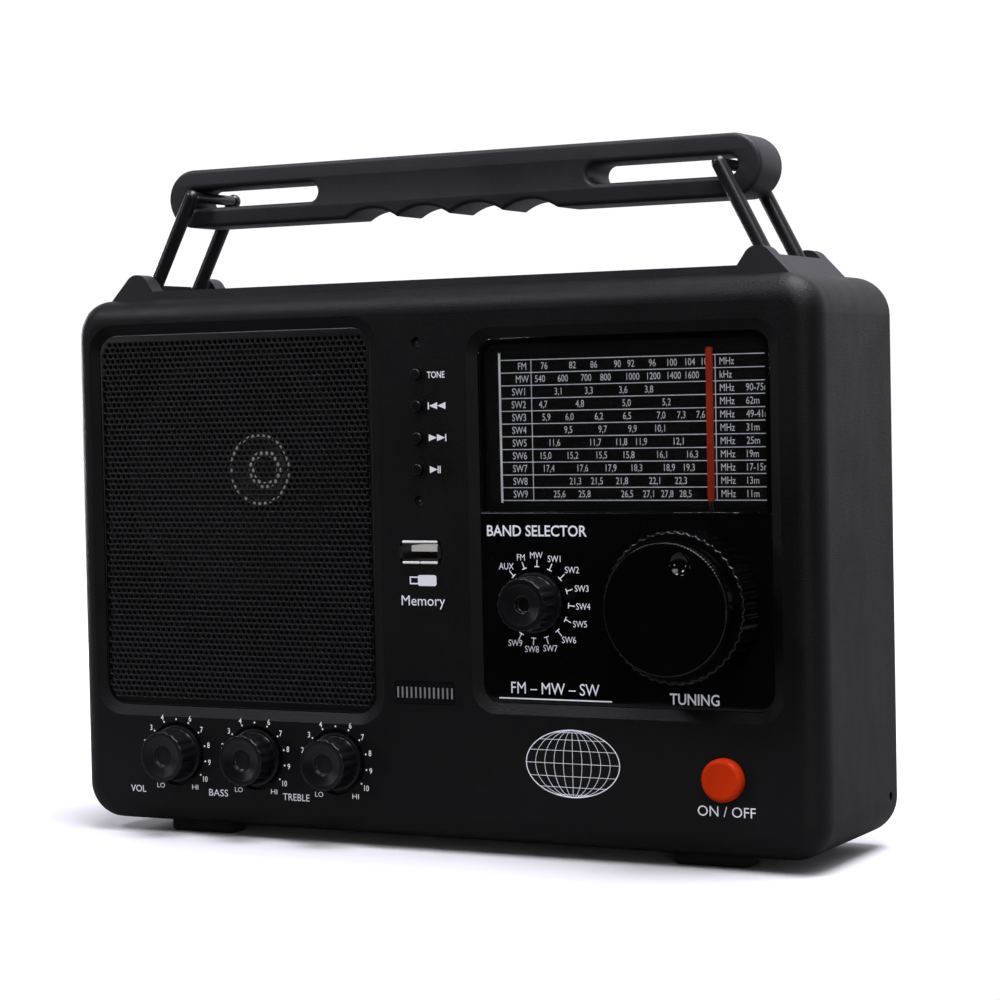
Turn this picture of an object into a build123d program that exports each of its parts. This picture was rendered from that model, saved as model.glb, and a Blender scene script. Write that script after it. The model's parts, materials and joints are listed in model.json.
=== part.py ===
"""Portable twelve-band shortwave receiver with a folding carrying handle.

Frame: X to the right as seen from the front, Y to the rear, Z up, millimetres.
The origin is the middle of the overall box, on the surface that the feet rest on.
Depths are measured back from the front face, and heights up from the cabinet's underside.
"""
from build123d import *
import math
import os

# ---------------------------------------------------------------- driving sizes
BODY_WIDTH = 264.0
BODY_HEIGHT = 172.0
BODY_DEPTH = 66.0
PART_LINE = 18.5            # depth of the seam between the two cabinet halves
OUTLINE_RADIUS = 12.0
FRONT_ROUND = 8.0
REAR_ROUND = 4.5
WALL = 2.5
FRONT_WALL = 4.2
FOOT_HEIGHT = 4.0
FOOT_WIDTH = 25.0
FOOT_DEPTH = 10.0
FOOT_INSET_X = 40.5         # foot centre, in from the side of the cabinet
FOOT_INSET_FRONT = 15.0
FOOT_INSET_REAR = 13.0

RUNNING = 0.05              # radial clearance of a pin or shaft in its bore
EASY = 0.3                  # clearance round what slides or drops in
GAP = 0.2                   # air between pieces that only stand near each other

BEVEL_WIDTH = 3.3           # sloping frame round the grille and round the dial
BEVEL_DEPTH = 1.5
GRILLE_THICK = 1.0
INSERT_THICK = 1.5
LEDGE = 2.0                 # what the inserts and the grille rest on

GRILLE_LEFT = 7.25          # recess edge, in from the cabinet's left side
GRILLE_WIDTH = 110.75
GRILLE_BOTTOM = 35.2
GRILLE_HEIGHT = 128.6
GRILLE_RADIUS = 10.0

PANEL_RIGHT = 11.85         # recess edge, in from the cabinet's right side
PANEL_WIDTH = 102.8
PANEL_BOTTOM = 40.4
PANEL_HEIGHT = 118.4
PANEL_RADIUS = 8.0
WINDOW_SHARE = 53.3         # height of the dial window, the rest is the control panel
SCALE_THICK = 0.8

SPEAKER_SIZE = 96.0
SPEAKER_RISE = 16.0         # speaker centre above the middle of the grille
CONE_SIZE = 84.0
CAP_SIZE = 26.0
CONE_DEPTH = 20.0
MAGNET_SIZE = 60.0
MAGNET_THICK = 13.0

SMALL_KNOB_SIZE = 16.6
SMALL_KNOB_PROUD = 9.0
SMALL_KNOB_PITCH = 30.5
SMALL_KNOB_HEIGHT = 23.1
TREBLE_X = -32.35
DISH_SIZE = 21.0
DISH_DEPTH = 1.6
SHAFT_SIZE = 6.0
POT_SIZE = 16.0
POT_DEPTH = 8.0

TUNING_SIZE = 45.4
TUNING_CAP_SIZE = 39.4
TUNING_RING_PROUD = 10.4
TUNING_PROUD = 16.4
TUNING_FLUTES = 46
HOLLOW_SIZE = 7.3           # fingertip hollow in the tuning knob's cap
HOLLOW_DEPTH = 1.5
HOLLOW_ACROSS = 5.3
HOLLOW_UP = 13.4
TUNING_IN = 42.0            # knob centre, in from the cabinet's right side
TUNING_HEIGHT = 74.8
DRUM_SIZE = 27.0
DRUM_SPACING = 22.0         # drum centre, left of the tuning shaft
DRUM_THICK = 4.0
DRUM_DEPTH = 12.0

BAND_KNOB_SIZE = 16.4
BAND_KNOB_PROUD = 9.0
BAND_SPACING = 50.7         # band selector's centre, left of the tuning shaft
BAND_SWITCH_SIZE = 26.0

POINTER_WIDTH = 2.2
POINTER_THICK = 0.5
POINTER_DEPTH = 3.4
POINTER_IN = 35.0           # pointer at rest, in from the cabinet's right side
RAIL_SIZE = 2.0
RAIL_DEPTH = 9.0

BUTTON_SIZE = 3.5
BUTTON_PROUD = 1.4
BUTTON_TOP = 145.1
BUTTON_PITCH = 9.84
BUTTON_TRAVEL = 0.5
BOARD_SCREW_HEIGHTS = (154.9, 105.8)
PLAYER_BOARD_DEPTH = 8.0
BOARD_THICK = 1.6

USB_WIDTH = 13.2
USB_HEIGHT = 5.8
USB_SHEET = 0.35
USB_Z = 89.9
USB_LENGTH = 14.0
USB_LIP = 0.7
TONGUE_DEPTH = 4.4

POWER_SIZE = 13.0
POWER_PROUD = 3.2
POWER_TRAVEL = 2.5
POWER_IN = 31.1
POWER_HEIGHT = 23.7

BADGE_WIDTH = 21.2
BADGE_HEIGHT = 7.2
BADGE_X = 0.5
BADGE_Z = 46.1

HANDLE_CENTRE = 31.2        # depth of the handle's middle plane
LUG_SPREAD = 45.8           # outer face of the front lug to outer face of the rear lug
LUG_THICK = 6.5
LUG_RISE = 8.4
LUG_RADIUS = 4.8
PIVOT_X = 110.7
PIVOT_RISE = 3.6
WEB_RISE = 5.7
RAIL_RISE = 2.7
RAIL_THICK = 2.5
BASE_FLOOR = 1.0
LEG_SIZE = 4.6
CROSS_SIZE = 3.4
BAIL_LENGTH = 34.2
BAIL_ANGLE = 62.3           # leg above the horizontal, handle raised
LEG_SPREAD = 25.2
GRIP_LENGTH = 213.4
GRIP_HEIGHT = 19.2
GRIP_DEPTH = 17.6
SLOT_HEIGHT = 6.4
SLOT_START = 48.6
SLOT_END = 99.0
ROD_LIFT = 0.33             # bail crosspiece above the slot's middle, handle raised
FINGER_PITCH = 19.1
FINGER_DEPTH = 3.0
FINGER_COUNT = 4

REBATE_HEIGHT = 8.6         # channel along the top rear edge for the antenna
REBATE_DEPTH = 9.0
REBATE_END = 104.0
MAST_SIZES = (6.4, 5.2, 4.0, 2.8)
MAST_LENGTH = 150.0
MAST_WALL = 0.4
MAST_OVERLAP = 2.5          # each section shows this much of the one inside it
ANTENNA_X = 97.0
ELBOW_THICK = 2.6
EAR_THICK = 1.4

BAY_WIDTH = 125.0
BAY_HEIGHT = 69.0
BAY_DEPTH = 35.0
BAY_BOTTOM = 7.5
BAY_WALL = 1.5
DOOR_LAP = 2.0

MAIN_BOARD_DEPTH = 24.0
SCREW_SIZE = 3.0
BOSS_SIZE = 8.0
SCREW_INSET = 9.0
SCREW_LOW = 12.0
SCREW_HIGH = 154.0
SCREW_SEAT = 30.0           # depth of the face under each cabinet screw's head

FERRITE_SIZE = 10.0
FERRITE_LENGTH = 140.0

INLET_IN = 34.0             # mains socket's middle, in from the cabinet's right side
INLET_Z = 62.0
INLET_PITCH = 8.6
SELECTOR_RISE = 22.0        # voltage selector above the mains socket
SELECTOR_TRAVEL = 4.0

# ---------------------------------------------------------------- derived places
FRONT_Y = (TUNING_PROUD - BODY_DEPTH) / 2
HALF_WIDTH = BODY_WIDTH / 2
TUNING_X = HALF_WIDTH - TUNING_IN
BAND_X = TUNING_X - BAND_SPACING
DRUM_X = TUNING_X - DRUM_SPACING
POWER_X = HALF_WIDTH - POWER_IN
POINTER_X = HALF_WIDTH - POINTER_IN
GRILLE_X = -HALF_WIDTH + GRILLE_LEFT + GRILLE_WIDTH / 2
GRILLE_Z = GRILLE_BOTTOM + GRILLE_HEIGHT / 2
SPEAKER_Z = GRILLE_Z + SPEAKER_RISE
PANEL_X = HALF_WIDTH - PANEL_RIGHT - PANEL_WIDTH / 2
PANEL_Z = PANEL_BOTTOM + PANEL_HEIGHT / 2
INSERT_WIDTH = PANEL_WIDTH - 2 * BEVEL_WIDTH
INSERT_HEIGHT = PANEL_HEIGHT - 2 * BEVEL_WIDTH
INSERT_BOTTOM = PANEL_BOTTOM + BEVEL_WIDTH
WINDOW_BOTTOM = INSERT_BOTTOM + INSERT_HEIGHT - WINDOW_SHARE
INSERT_RADIUS = PANEL_RADIUS - 2.5
KNOB_XS = {"volume": TREBLE_X - 2 * SMALL_KNOB_PITCH, "bass": TREBLE_X - SMALL_KNOB_PITCH, "treble": TREBLE_X}
REBATE_FLOOR = BODY_HEIGHT - REBATE_HEIGHT
REBATE_FACE = BODY_DEPTH - REBATE_DEPTH
MAST_DEPTH = BODY_DEPTH - REBATE_DEPTH / 2
MAST_Z = REBATE_FLOOR + REBATE_HEIGHT / 2
PIVOT_Z = BODY_HEIGHT + PIVOT_RISE
FRONT_LEG = HANDLE_CENTRE - LEG_SPREAD / 2
REAR_LEG = HANDLE_CENTRE + LEG_SPREAD / 2
LUG_FRONT = HANDLE_CENTRE - LUG_SPREAD / 2
LUG_REAR = HANDLE_CENTRE + LUG_SPREAD / 2
ROD_X = PIVOT_X - BAIL_LENGTH * math.cos(math.radians(BAIL_ANGLE))
ROD_Z = PIVOT_Z + BAIL_LENGTH * math.sin(math.radians(BAIL_ANGLE))
GRIP_Z = ROD_Z - ROD_LIFT
BAY_TOP = BAY_BOTTOM + BAY_HEIGHT
BAY_FRONT = BODY_DEPTH - WALL - BAY_DEPTH
FERRITE_Z = REBATE_FLOOR - WALL - FERRITE_SIZE / 2 - 2.0
FERRITE_DEPTH = 40.0
INLET_X = HALF_WIDTH - INLET_IN
SELECTOR_Z = INLET_Z + SELECTOR_RISE
SCREW_SPOTS = [(sx * (HALF_WIDTH - SCREW_INSET), z) for sx in (-1, 1) for z in (SCREW_LOW, SCREW_HIGH)]

os.makedirs("parts", exist_ok=True)


# ---------------------------------------------------------------- helpers
def facing(depth):
    """Plane parallel to the front, with its own x to the right and y up, at a depth."""
    return Plane(origin=(0, FRONT_Y + depth, FOOT_HEIGHT), x_dir=(1, 0, 0), z_dir=(0, -1, 0))


def slab(sketch, depth_from, depth_to):
    """Solid with the sketch's outline between two depths."""
    return extrude(facing(depth_from) * sketch, amount=-(depth_to - depth_from))


def disc(x, z, size, depth_from, depth_to):
    """Round bar along Y."""
    return slab(Pos(x, z) * Circle(size / 2), depth_from, depth_to)


def tube(x, z, size, bore, depth_from, depth_to):
    """Hollow round bar along Y."""
    return slab(Pos(x, z) * (Circle(size / 2) - Circle(bore / 2)), depth_from, depth_to)


def rounded(x, z, width, height, radius):
    """Rectangle with round corners, given by its centre."""
    return Pos(x, z) * RectangleRounded(width, height, radius)


def between(x_from, x_to, z_from, z_to):
    """Plain rectangle, given by its edges."""
    return Pos((x_from + x_to) / 2, (z_from + z_to) / 2) * Rectangle(x_to - x_from, z_to - z_from)


def block(x_from, x_to, depth_from, depth_to, z_from, z_to):
    """Plain box, given by its faces."""
    return slab(between(x_from, x_to, z_from, z_to), depth_from, depth_to)


def turned(points, x, z, depth):
    """Solid of revolution about a line along Y, from (radius, depth) points."""
    outline = make_face(Polyline(*points, close=True))
    upright = revolve(outline, Axis.Y)
    return Pos(x, FRONT_Y + depth, FOOT_HEIGHT + z) * upright


def bar_along_x(x_from, x_to, depth, z, size):
    """Round bar along X."""
    start = Plane(origin=(x_from, FRONT_Y + depth, FOOT_HEIGHT + z), x_dir=(0, 1, 0), z_dir=(1, 0, 0))
    return extrude(start * Circle(size / 2), amount=x_to - x_from)


def save(name, shape):
    """Write one named piece."""
    export_step(shape, f"parts/{name}.step")


# ---------------------------------------------------------------- cabinet
def cabinet_block(inset, front, rear):
    """The cabinet's outside, or its inside when inset by the wall."""
    outline = RectangleRounded(BODY_WIDTH - 2 * inset, BODY_HEIGHT - 2 * inset, OUTLINE_RADIUS - inset)
    shape = slab(Pos(0, BODY_HEIGHT / 2) * outline, front, rear)
    ends = shape.faces().sort_by(Axis.Y)
    shape = fillet(ends[-1].edges(), REAR_ROUND - inset * 0.6)
    nose = shape.faces().sort_by(Axis.Y)[0]
    return fillet(nose.edges(), FRONT_ROUND - inset)


def bevelled_recess(x, z, width, height, radius):
    """Cutter for a shallow recess with a sloping frame."""
    outer = facing(0) * rounded(x, z, width, height, radius)
    inner_outline = rounded(x, z, width - 2 * BEVEL_WIDTH, height - 2 * BEVEL_WIDTH, radius - 2.5)
    inner = facing(BEVEL_DEPTH) * inner_outline
    return loft([outer.face(), inner.face()])


def tact_spots():
    """Heights of the four player buttons, from the top."""
    return [BUTTON_TOP - step * BUTTON_PITCH for step in range(4)]


OUTSIDE = cabinet_block(0, 0, BODY_DEPTH)
INSIDE = cabinet_block(WALL, FRONT_WALL, BODY_DEPTH - WALL)
FRONT_HALF = block(-BODY_WIDTH, BODY_WIDTH, -1, PART_LINE, -1, BODY_HEIGHT + 1)
REAR_HALF = block(-BODY_WIDTH, BODY_WIDTH, PART_LINE, BODY_DEPTH + 1, -1, BODY_HEIGHT + 1)


def front_cabinet():
    """Front half: bevelled recesses, control holes, speaker opening, board posts and screw bosses."""
    shell = (OUTSIDE - INSIDE) & FRONT_HALF
    for x, z in SCREW_SPOTS:
        shell += tube(x, z, BOSS_SIZE, SCREW_SIZE + 2 * RUNNING, FRONT_WALL, PART_LINE)
    for x, z in board_posts():
        shell += tube(x, z, 5.0, 2.0, FRONT_WALL, MAIN_BOARD_DEPTH)
    for z in BOARD_SCREW_HEIGHTS:
        shell += disc(0, z, 5.0, FRONT_WALL, PLAYER_BOARD_DEPTH)
    shell -= bevelled_recess(GRILLE_X, GRILLE_Z, GRILLE_WIDTH, GRILLE_HEIGHT, GRILLE_RADIUS)
    shell -= slab(grille_outline(0), BEVEL_DEPTH, BEVEL_DEPTH + GRILLE_THICK)
    shell -= disc(GRILLE_X, SPEAKER_Z, CONE_SIZE + 4, 0, FRONT_WALL)
    shell -= bevelled_recess(PANEL_X, PANEL_Z, PANEL_WIDTH, PANEL_HEIGHT, PANEL_RADIUS)
    insert = rounded(PANEL_X, PANEL_Z, INSERT_WIDTH, INSERT_HEIGHT, INSERT_RADIUS)
    shell -= slab(insert, BEVEL_DEPTH, BEVEL_DEPTH + INSERT_THICK)
    opening = rounded(PANEL_X, PANEL_Z, INSERT_WIDTH - 2 * LEDGE, INSERT_HEIGHT - 2 * LEDGE, INSERT_RADIUS - 1.5)
    shell -= slab(opening, BEVEL_DEPTH, FRONT_WALL)
    for x in KNOB_XS.values():
        shell -= disc(x, SMALL_KNOB_HEIGHT, DISH_SIZE, 0, DISH_DEPTH)
        shell -= disc(x, SMALL_KNOB_HEIGHT, SHAFT_SIZE + 2 * EASY, 0, FRONT_WALL)
    for z in tact_spots():
        shell -= disc(0, z, BUTTON_SIZE + EASY, 0, FRONT_WALL)
    for z in BOARD_SCREW_HEIGHTS:
        shell -= disc(0, z, 3.4, 0, 3.2)
        shell -= disc(0, z, 1.8 + 2 * RUNNING, 0, PLAYER_BOARD_DEPTH)
    shell -= slab(rounded(0, USB_Z, USB_WIDTH + 1.2, USB_HEIGHT + 1.8, 0.8), 0, FRONT_WALL)
    shell -= disc(POWER_X, POWER_HEIGHT, POWER_SIZE + 2 * EASY, 0, FRONT_WALL)
    shell -= slab(rounded(BADGE_X, BADGE_Z, BADGE_WIDTH, BADGE_HEIGHT, 0.6), 0, 1.0)
    return shell


def board_posts():
    """Places of the four posts that carry the main board."""
    left = PANEL_X - PANEL_WIDTH / 2 - 2.8
    right = HALF_WIDTH - 9.5
    return [(x, z) for x in (left, right) for z in (44.0, 140.0)]


def antenna_step(grow, end):
    """Block that follows the antenna channel, grown by a wall for the inside."""
    return block(-BODY_WIDTH, end + grow, REBATE_FACE - grow, BODY_DEPTH + 1, REBATE_FLOOR - grow, BODY_HEIGHT + 1)


def rear_cabinet():
    """Rear half: antenna channel, battery bay, socket holes, ferrite cradles and screw towers."""
    inside = INSIDE - antenna_step(WALL, REBATE_END)
    shell = (OUTSIDE - inside - antenna_step(0, REBATE_END)) & REAR_HALF
    for x, z in SCREW_SPOTS:
        shell += disc(x, z, BOSS_SIZE, PART_LINE, BODY_DEPTH - WALL)
        shell -= disc(x, z, SCREW_SIZE + 2 * RUNNING, PART_LINE, BODY_DEPTH)
        shell -= disc(x, z, BOSS_SIZE - 2.0, SCREW_SEAT, BODY_DEPTH)
    bay_outline = between(-BAY_WIDTH / 2, BAY_WIDTH / 2, BAY_BOTTOM, BAY_TOP)
    bay_outside = offset(bay_outline, BAY_WALL, kind=Kind.INTERSECTION)
    shell += slab(bay_outside, BAY_FRONT - BAY_WALL, BODY_DEPTH - WALL)
    shell -= slab(bay_outline, BAY_FRONT, BODY_DEPTH)
    door_seat = offset(bay_outline, DOOR_LAP, kind=Kind.INTERSECTION)
    shell -= slab(door_seat, BODY_DEPTH - WALL / 2, BODY_DEPTH)
    shell -= slab(inlet_outline(EASY / 2), BODY_DEPTH - WALL, BODY_DEPTH)
    shell -= slab(selector_slot(), BODY_DEPTH - WALL, BODY_DEPTH)
    for x in ferrite_cradles():
        cradle = block(x - 2, x + 2, FERRITE_DEPTH - 7, BODY_DEPTH - WALL, FERRITE_Z - 7, FERRITE_Z + 7)
        cradle -= bar_along_x(x - 3, x + 3, FERRITE_DEPTH, FERRITE_Z, FERRITE_SIZE + 2 * RUNNING)
        shell += cradle & INSIDE
    swivel_bore = Pos(ANTENNA_X, FRONT_Y + MAST_DEPTH, FOOT_HEIGHT + REBATE_FLOOR)
    shell -= swivel_bore * Cylinder(2.0 + RUNNING, 2 * WALL + 1)
    shell -= side_dimple()
    return shell


def side_dimple():
    """Small blind dimple low on the right side."""
    start = Plane(origin=(HALF_WIDTH, FRONT_Y + BODY_DEPTH - 9.4, FOOT_HEIGHT + 12.6), x_dir=(0, 1, 0), z_dir=(-1, 0, 0))
    return extrude(start * Circle(1.4), amount=1.0)


def ferrite_cradles():
    """Places of the two cradles that hold the ferrite rod."""
    return (-30.0, 62.0)


def inlet_outline(grow):
    """Figure-of-eight outline of the mains socket."""
    lobe = Circle(6.0 + grow)
    middle = Rectangle(INLET_PITCH, 10.0 + 2 * grow)
    outline = Pos(-INLET_PITCH / 2, 0) * lobe + Pos(INLET_PITCH / 2, 0) * lobe + middle
    return Pos(INLET_X, INLET_Z) * outline


def selector_slot():
    """Opening for the voltage selector's slider."""
    return between(INLET_X - 5.0, INLET_X + 5.0, SELECTOR_Z - 3.0, SELECTOR_Z + 3.0)


def grille_outline(shrink):
    """Outline of the perforated sheet."""
    width = GRILLE_WIDTH - 2 * BEVEL_WIDTH - 2 * shrink
    height = GRILLE_HEIGHT - 2 * BEVEL_WIDTH - 2 * shrink
    return rounded(GRILLE_X, GRILLE_Z, width, height, GRILLE_RADIUS - 2.5 - shrink)


def feet():
    """Four rubber feet under the cabinet."""
    pads = []
    for sx in (-1, 1):
        for depth in (FOOT_INSET_FRONT, BODY_DEPTH - FOOT_INSET_REAR):
            pad = Box(FOOT_WIDTH, FOOT_DEPTH, FOOT_HEIGHT, align=(Align.CENTER, Align.CENTER, Align.MIN))
            pad = fillet(pad.edges().filter_by(Axis.Z), 3.0)
            pad = chamfer(pad.faces().sort_by(Axis.Z)[0].edges(), 0.6)
            pads.append(Pos(sx * (HALF_WIDTH - FOOT_INSET_X), FRONT_Y + depth, 0) * pad)
    return Compound(children=pads)


def cabinet_screws():
    """Four screws that draw the rear half onto the front half."""
    screws = []
    for x, z in SCREW_SPOTS:
        shank = disc(x, z, SCREW_SIZE, FRONT_WALL + 2, SCREW_SEAT)
        head = disc(x, z, BOSS_SIZE - 3.0, SCREW_SEAT, SCREW_SEAT + 2.2)
        head -= disc(x, z, 1.6, SCREW_SEAT + 1, SCREW_SEAT + 2.2)
        screws.append(shank + head)
    return Compound(children=screws)


save("front_cabinet", front_cabinet())
save("rear_cabinet", rear_cabinet())
save("feet", feet())
save("cabinet_screws", cabinet_screws())


# ---------------------------------------------------------------- carrying handle
def lug_outline(side):
    """Prism with a rounded top that carries one end of a bail, steep outside and short inside."""
    top = BODY_HEIGHT + LUG_RISE
    apex = Pos(side * PIVOT_X, top - LUG_RADIUS) * Circle(LUG_RADIUS)
    foot = Polyline(
        (side * (PIVOT_X + LUG_RADIUS * 0.78), top - LUG_RADIUS * 0.38),
        (side * (PIVOT_X + 10.0), BODY_HEIGHT),
        (side * (PIVOT_X - 8.4), BODY_HEIGHT),
        (side * (PIVOT_X - LUG_RADIUS * 0.86), top - LUG_RADIUS * 0.5),
        close=True,
    )
    above = between(-BODY_WIDTH, BODY_WIDTH, BODY_HEIGHT, top + 1)
    return (apex + make_face(foot)) & above


def handle_base():
    """Top moulding: a tray with rails, four lugs and the sloping webs that join them."""
    reach = PIVOT_X + 10.0
    base = block(-reach + 1, reach - 1, LUG_FRONT, LUG_REAR, BODY_HEIGHT, BODY_HEIGHT + BASE_FLOOR)
    for start in (LUG_FRONT, LUG_REAR - RAIL_THICK):
        base += block(-PIVOT_X, PIVOT_X, start, start + RAIL_THICK, BODY_HEIGHT, BODY_HEIGHT + RAIL_RISE)
    for side in (-1, 1):
        outline = lug_outline(side)
        for start in (LUG_FRONT, LUG_REAR - LUG_THICK):
            base += slab(outline, start, start + LUG_THICK)
        web_zone = Pos(side * (PIVOT_X + 8.0), BODY_HEIGHT + WEB_RISE / 2) * Rectangle(2 * 3.4, WEB_RISE)
        base += slab(outline & web_zone, LUG_FRONT, LUG_REAR)
        pin_length = LUG_THICK - 2.4
        bore = CROSS_SIZE + 2 * RUNNING
        inner_front = LUG_FRONT + LUG_THICK
        inner_rear = LUG_REAR - LUG_THICK
        base -= disc(side * PIVOT_X, PIVOT_Z, bore, inner_front - pin_length, inner_front)
        base -= disc(side * PIVOT_X, PIVOT_Z, bore, inner_rear, inner_rear + pin_length)
    return base


def bail(side):
    """U-shaped bail: two legs, a slimmer crosspiece through the grip and two pins in the lugs."""
    pins = LUG_THICK - 2.4 - EASY
    parts = []
    for depth, lug_face, way in ((FRONT_LEG, LUG_FRONT + LUG_THICK, -1), (REAR_LEG, LUG_REAR - LUG_THICK, 1)):
        foot = Vector(side * PIVOT_X, FRONT_Y + depth, FOOT_HEIGHT + PIVOT_Z)
        top = Vector(side * ROD_X, FRONT_Y + depth, FOOT_HEIGHT + ROD_Z)
        leg = Plane(origin=foot, z_dir=top - foot) * Circle(LEG_SIZE / 2)
        parts.append(extrude(leg, amount=(top - foot).length))
        parts.append(Pos(*foot) * Sphere(LEG_SIZE / 2))
        parts.append(Pos(*top) * Sphere(LEG_SIZE / 2))
        end = lug_face + way * pins
        parts.append(disc(side * PIVOT_X, PIVOT_Z, CROSS_SIZE, min(depth, end), max(depth, end)))
    parts.append(disc(side * ROD_X, ROD_Z, CROSS_SIZE, FRONT_LEG, REAR_LEG))
    shape = parts[0]
    for piece in parts[1:]:
        shape += piece
    return shape


def grip():
    """Straight grip with two slots for the bails and a row of finger hollows underneath."""
    front = HANDLE_CENTRE - GRIP_DEPTH / 2
    rear = HANDLE_CENTRE + GRIP_DEPTH / 2
    outline = Pos(0, GRIP_Z) * SlotOverall(GRIP_LENGTH, GRIP_HEIGHT)
    radius = (FINGER_PITCH ** 2 / 4 + FINGER_DEPTH ** 2) / (2 * FINGER_DEPTH)
    underside = GRIP_Z - GRIP_HEIGHT / 2
    for index in range(FINGER_COUNT):
        x = (index - (FINGER_COUNT - 1) / 2) * FINGER_PITCH
        outline -= Pos(x, underside + FINGER_DEPTH - radius) * Circle(radius)
    shape = slab(outline, front, rear)
    ends = shape.faces().filter_by(Axis.Y)
    shape = chamfer(ends.edges(), 0.8)
    for side in (-1, 1):
        slot = Pos(side * (SLOT_START + SLOT_END) / 2, GRIP_Z) * SlotOverall(SLOT_END - SLOT_START, SLOT_HEIGHT)
        shape -= slab(slot, front, rear)
    return shape


save("handle_base", handle_base())
save("left_bail", bail(-1))
save("right_bail", bail(1))
save("handle_grip", grip())


# ---------------------------------------------------------------- loudspeaker
def speaker_frame():
    """Pressed basket: flat rim against the front wall and a cone down to the magnet."""
    rim = SPEAKER_SIZE / 2
    back = CONE_DEPTH + 8.0
    points = [(CONE_SIZE / 2 + 1, 0), (rim, 0), (rim, 1.2), (rim - 5, 1.2), (MAGNET_SIZE / 2 - 4, back),
              (CAP_SIZE / 2 + 2, back), (CAP_SIZE / 2 + 2, back - 1), (MAGNET_SIZE / 2 - 5, back - 1), (rim - 6.2, 1.2)]
    return turned(points, GRILLE_X, SPEAKER_Z, FRONT_WALL)


def speaker_cone():
    """Paper cone with a rolled surround at its rim."""
    outer = CONE_SIZE / 2
    neck = CAP_SIZE / 2 - 1
    points = [(outer, 0.3), (outer, 0.9), (outer - 4, 0.9), (neck + 0.5, CONE_DEPTH), (neck, CONE_DEPTH + 4),
              (neck - 0.5, CONE_DEPTH + 4), (neck - 0.5, CONE_DEPTH), (outer - 5, 0.3)]
    return turned(points, GRILLE_X, SPEAKER_Z, FRONT_WALL)


def speaker_dust_cap():
    """Domed cap over the voice coil."""
    radius = CAP_SIZE / 2 - 2.0
    rise = 5.0
    ball = (radius ** 2 + rise ** 2) / (2 * rise)
    centre = Pos(GRILLE_X, FRONT_Y + FRONT_WALL + CONE_DEPTH - 1.5 - rise + ball, FOOT_HEIGHT + SPEAKER_Z)
    dome = centre * (Sphere(ball) - Sphere(ball - 0.5))
    return dome & disc(GRILLE_X, SPEAKER_Z, 2 * radius, FRONT_WALL, FRONT_WALL + CONE_DEPTH - 1.5)


def speaker_magnet():
    """Ring magnet and pole plate behind the basket."""
    start = FRONT_WALL + CONE_DEPTH + 8.0
    return disc(GRILLE_X, SPEAKER_Z, MAGNET_SIZE, start, start + MAGNET_THICK)


save("speaker_grille", slab(grille_outline(0), BEVEL_DEPTH, BEVEL_DEPTH + GRILLE_THICK))
save("speaker_frame", speaker_frame())
save("speaker_cone", speaker_cone())
save("speaker_dust_cap", speaker_dust_cap())
save("speaker_magnet", speaker_magnet())


# ---------------------------------------------------------------- dial and control panel
def insert_zone(z_from, z_to):
    """The part of the insert's outline between two heights."""
    whole = rounded(PANEL_X, PANEL_Z, INSERT_WIDTH, INSERT_HEIGHT, INSERT_RADIUS)
    return whole & between(PANEL_X - PANEL_WIDTH, PANEL_X + PANEL_WIDTH, z_from, z_to)


def control_panel():
    """Lower plate with the holes for the two control shafts."""
    plate = slab(insert_zone(PANEL_BOTTOM, WINDOW_BOTTOM), BEVEL_DEPTH, BEVEL_DEPTH + INSERT_THICK)
    for x, z in ((BAND_X, TUNING_HEIGHT), (TUNING_X, TUNING_HEIGHT)):
        plate -= disc(x, z, SHAFT_SIZE + 2 * EASY, BEVEL_DEPTH, BEVEL_DEPTH + INSERT_THICK)
    return plate


def dial_scale():
    """Printed plate behind the window, wider than the opening."""
    bottom = WINDOW_BOTTOM + 1.6
    top = INSERT_BOTTOM + INSERT_HEIGHT + 2.0
    outline = between(PANEL_X - INSERT_WIDTH / 2 - 1, PANEL_X + INSERT_WIDTH / 2 + 1, bottom, top)
    return slab(outline, FRONT_WALL, FRONT_WALL + SCALE_THICK)


def dial_pointer():
    """Needle in front of the scale on a carriage that runs along the rail."""
    top = INSERT_BOTTOM + INSERT_HEIGHT - LEDGE - 0.8
    rail_z = rail_height()
    half = POINTER_WIDTH / 2
    needle = block(POINTER_X - half, POINTER_X + half, POINTER_DEPTH, POINTER_DEPTH + POINTER_THICK, rail_z, top)
    carriage = block(POINTER_X - 4, POINTER_X + 4, POINTER_DEPTH, RAIL_DEPTH + 2.5, rail_z - 2.5, rail_z + 2.5)
    carriage -= bar_along_x(POINTER_X - 5, POINTER_X + 5, RAIL_DEPTH, rail_z, RAIL_SIZE + 2 * RUNNING)
    return needle + carriage


def rail_height():
    """Height of the pointer's rail, hidden behind the control panel."""
    return WINDOW_BOTTOM - 2.9


def pointer_rail():
    """Rod that the pointer's carriage slides on, with a foot at each end on the cabinet's front."""
    left = PANEL_X - INSERT_WIDTH / 2 - 1.5
    right = PANEL_X + INSERT_WIDTH / 2 + 1.5
    rail = bar_along_x(left, right, RAIL_DEPTH, rail_height(), RAIL_SIZE)
    for x in (left, right):
        rail += block(x - 1.0, x + 1.0, FRONT_WALL, RAIL_DEPTH + 2, rail_height() - 2, rail_height() + 2)
    return rail


save("dial_window", slab(insert_zone(WINDOW_BOTTOM, BODY_HEIGHT), BEVEL_DEPTH, BEVEL_DEPTH + INSERT_THICK))
save("control_panel", control_panel())
save("dial_scale", dial_scale())
save("dial_pointer", dial_pointer())
save("pointer_rail", pointer_rail())


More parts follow.
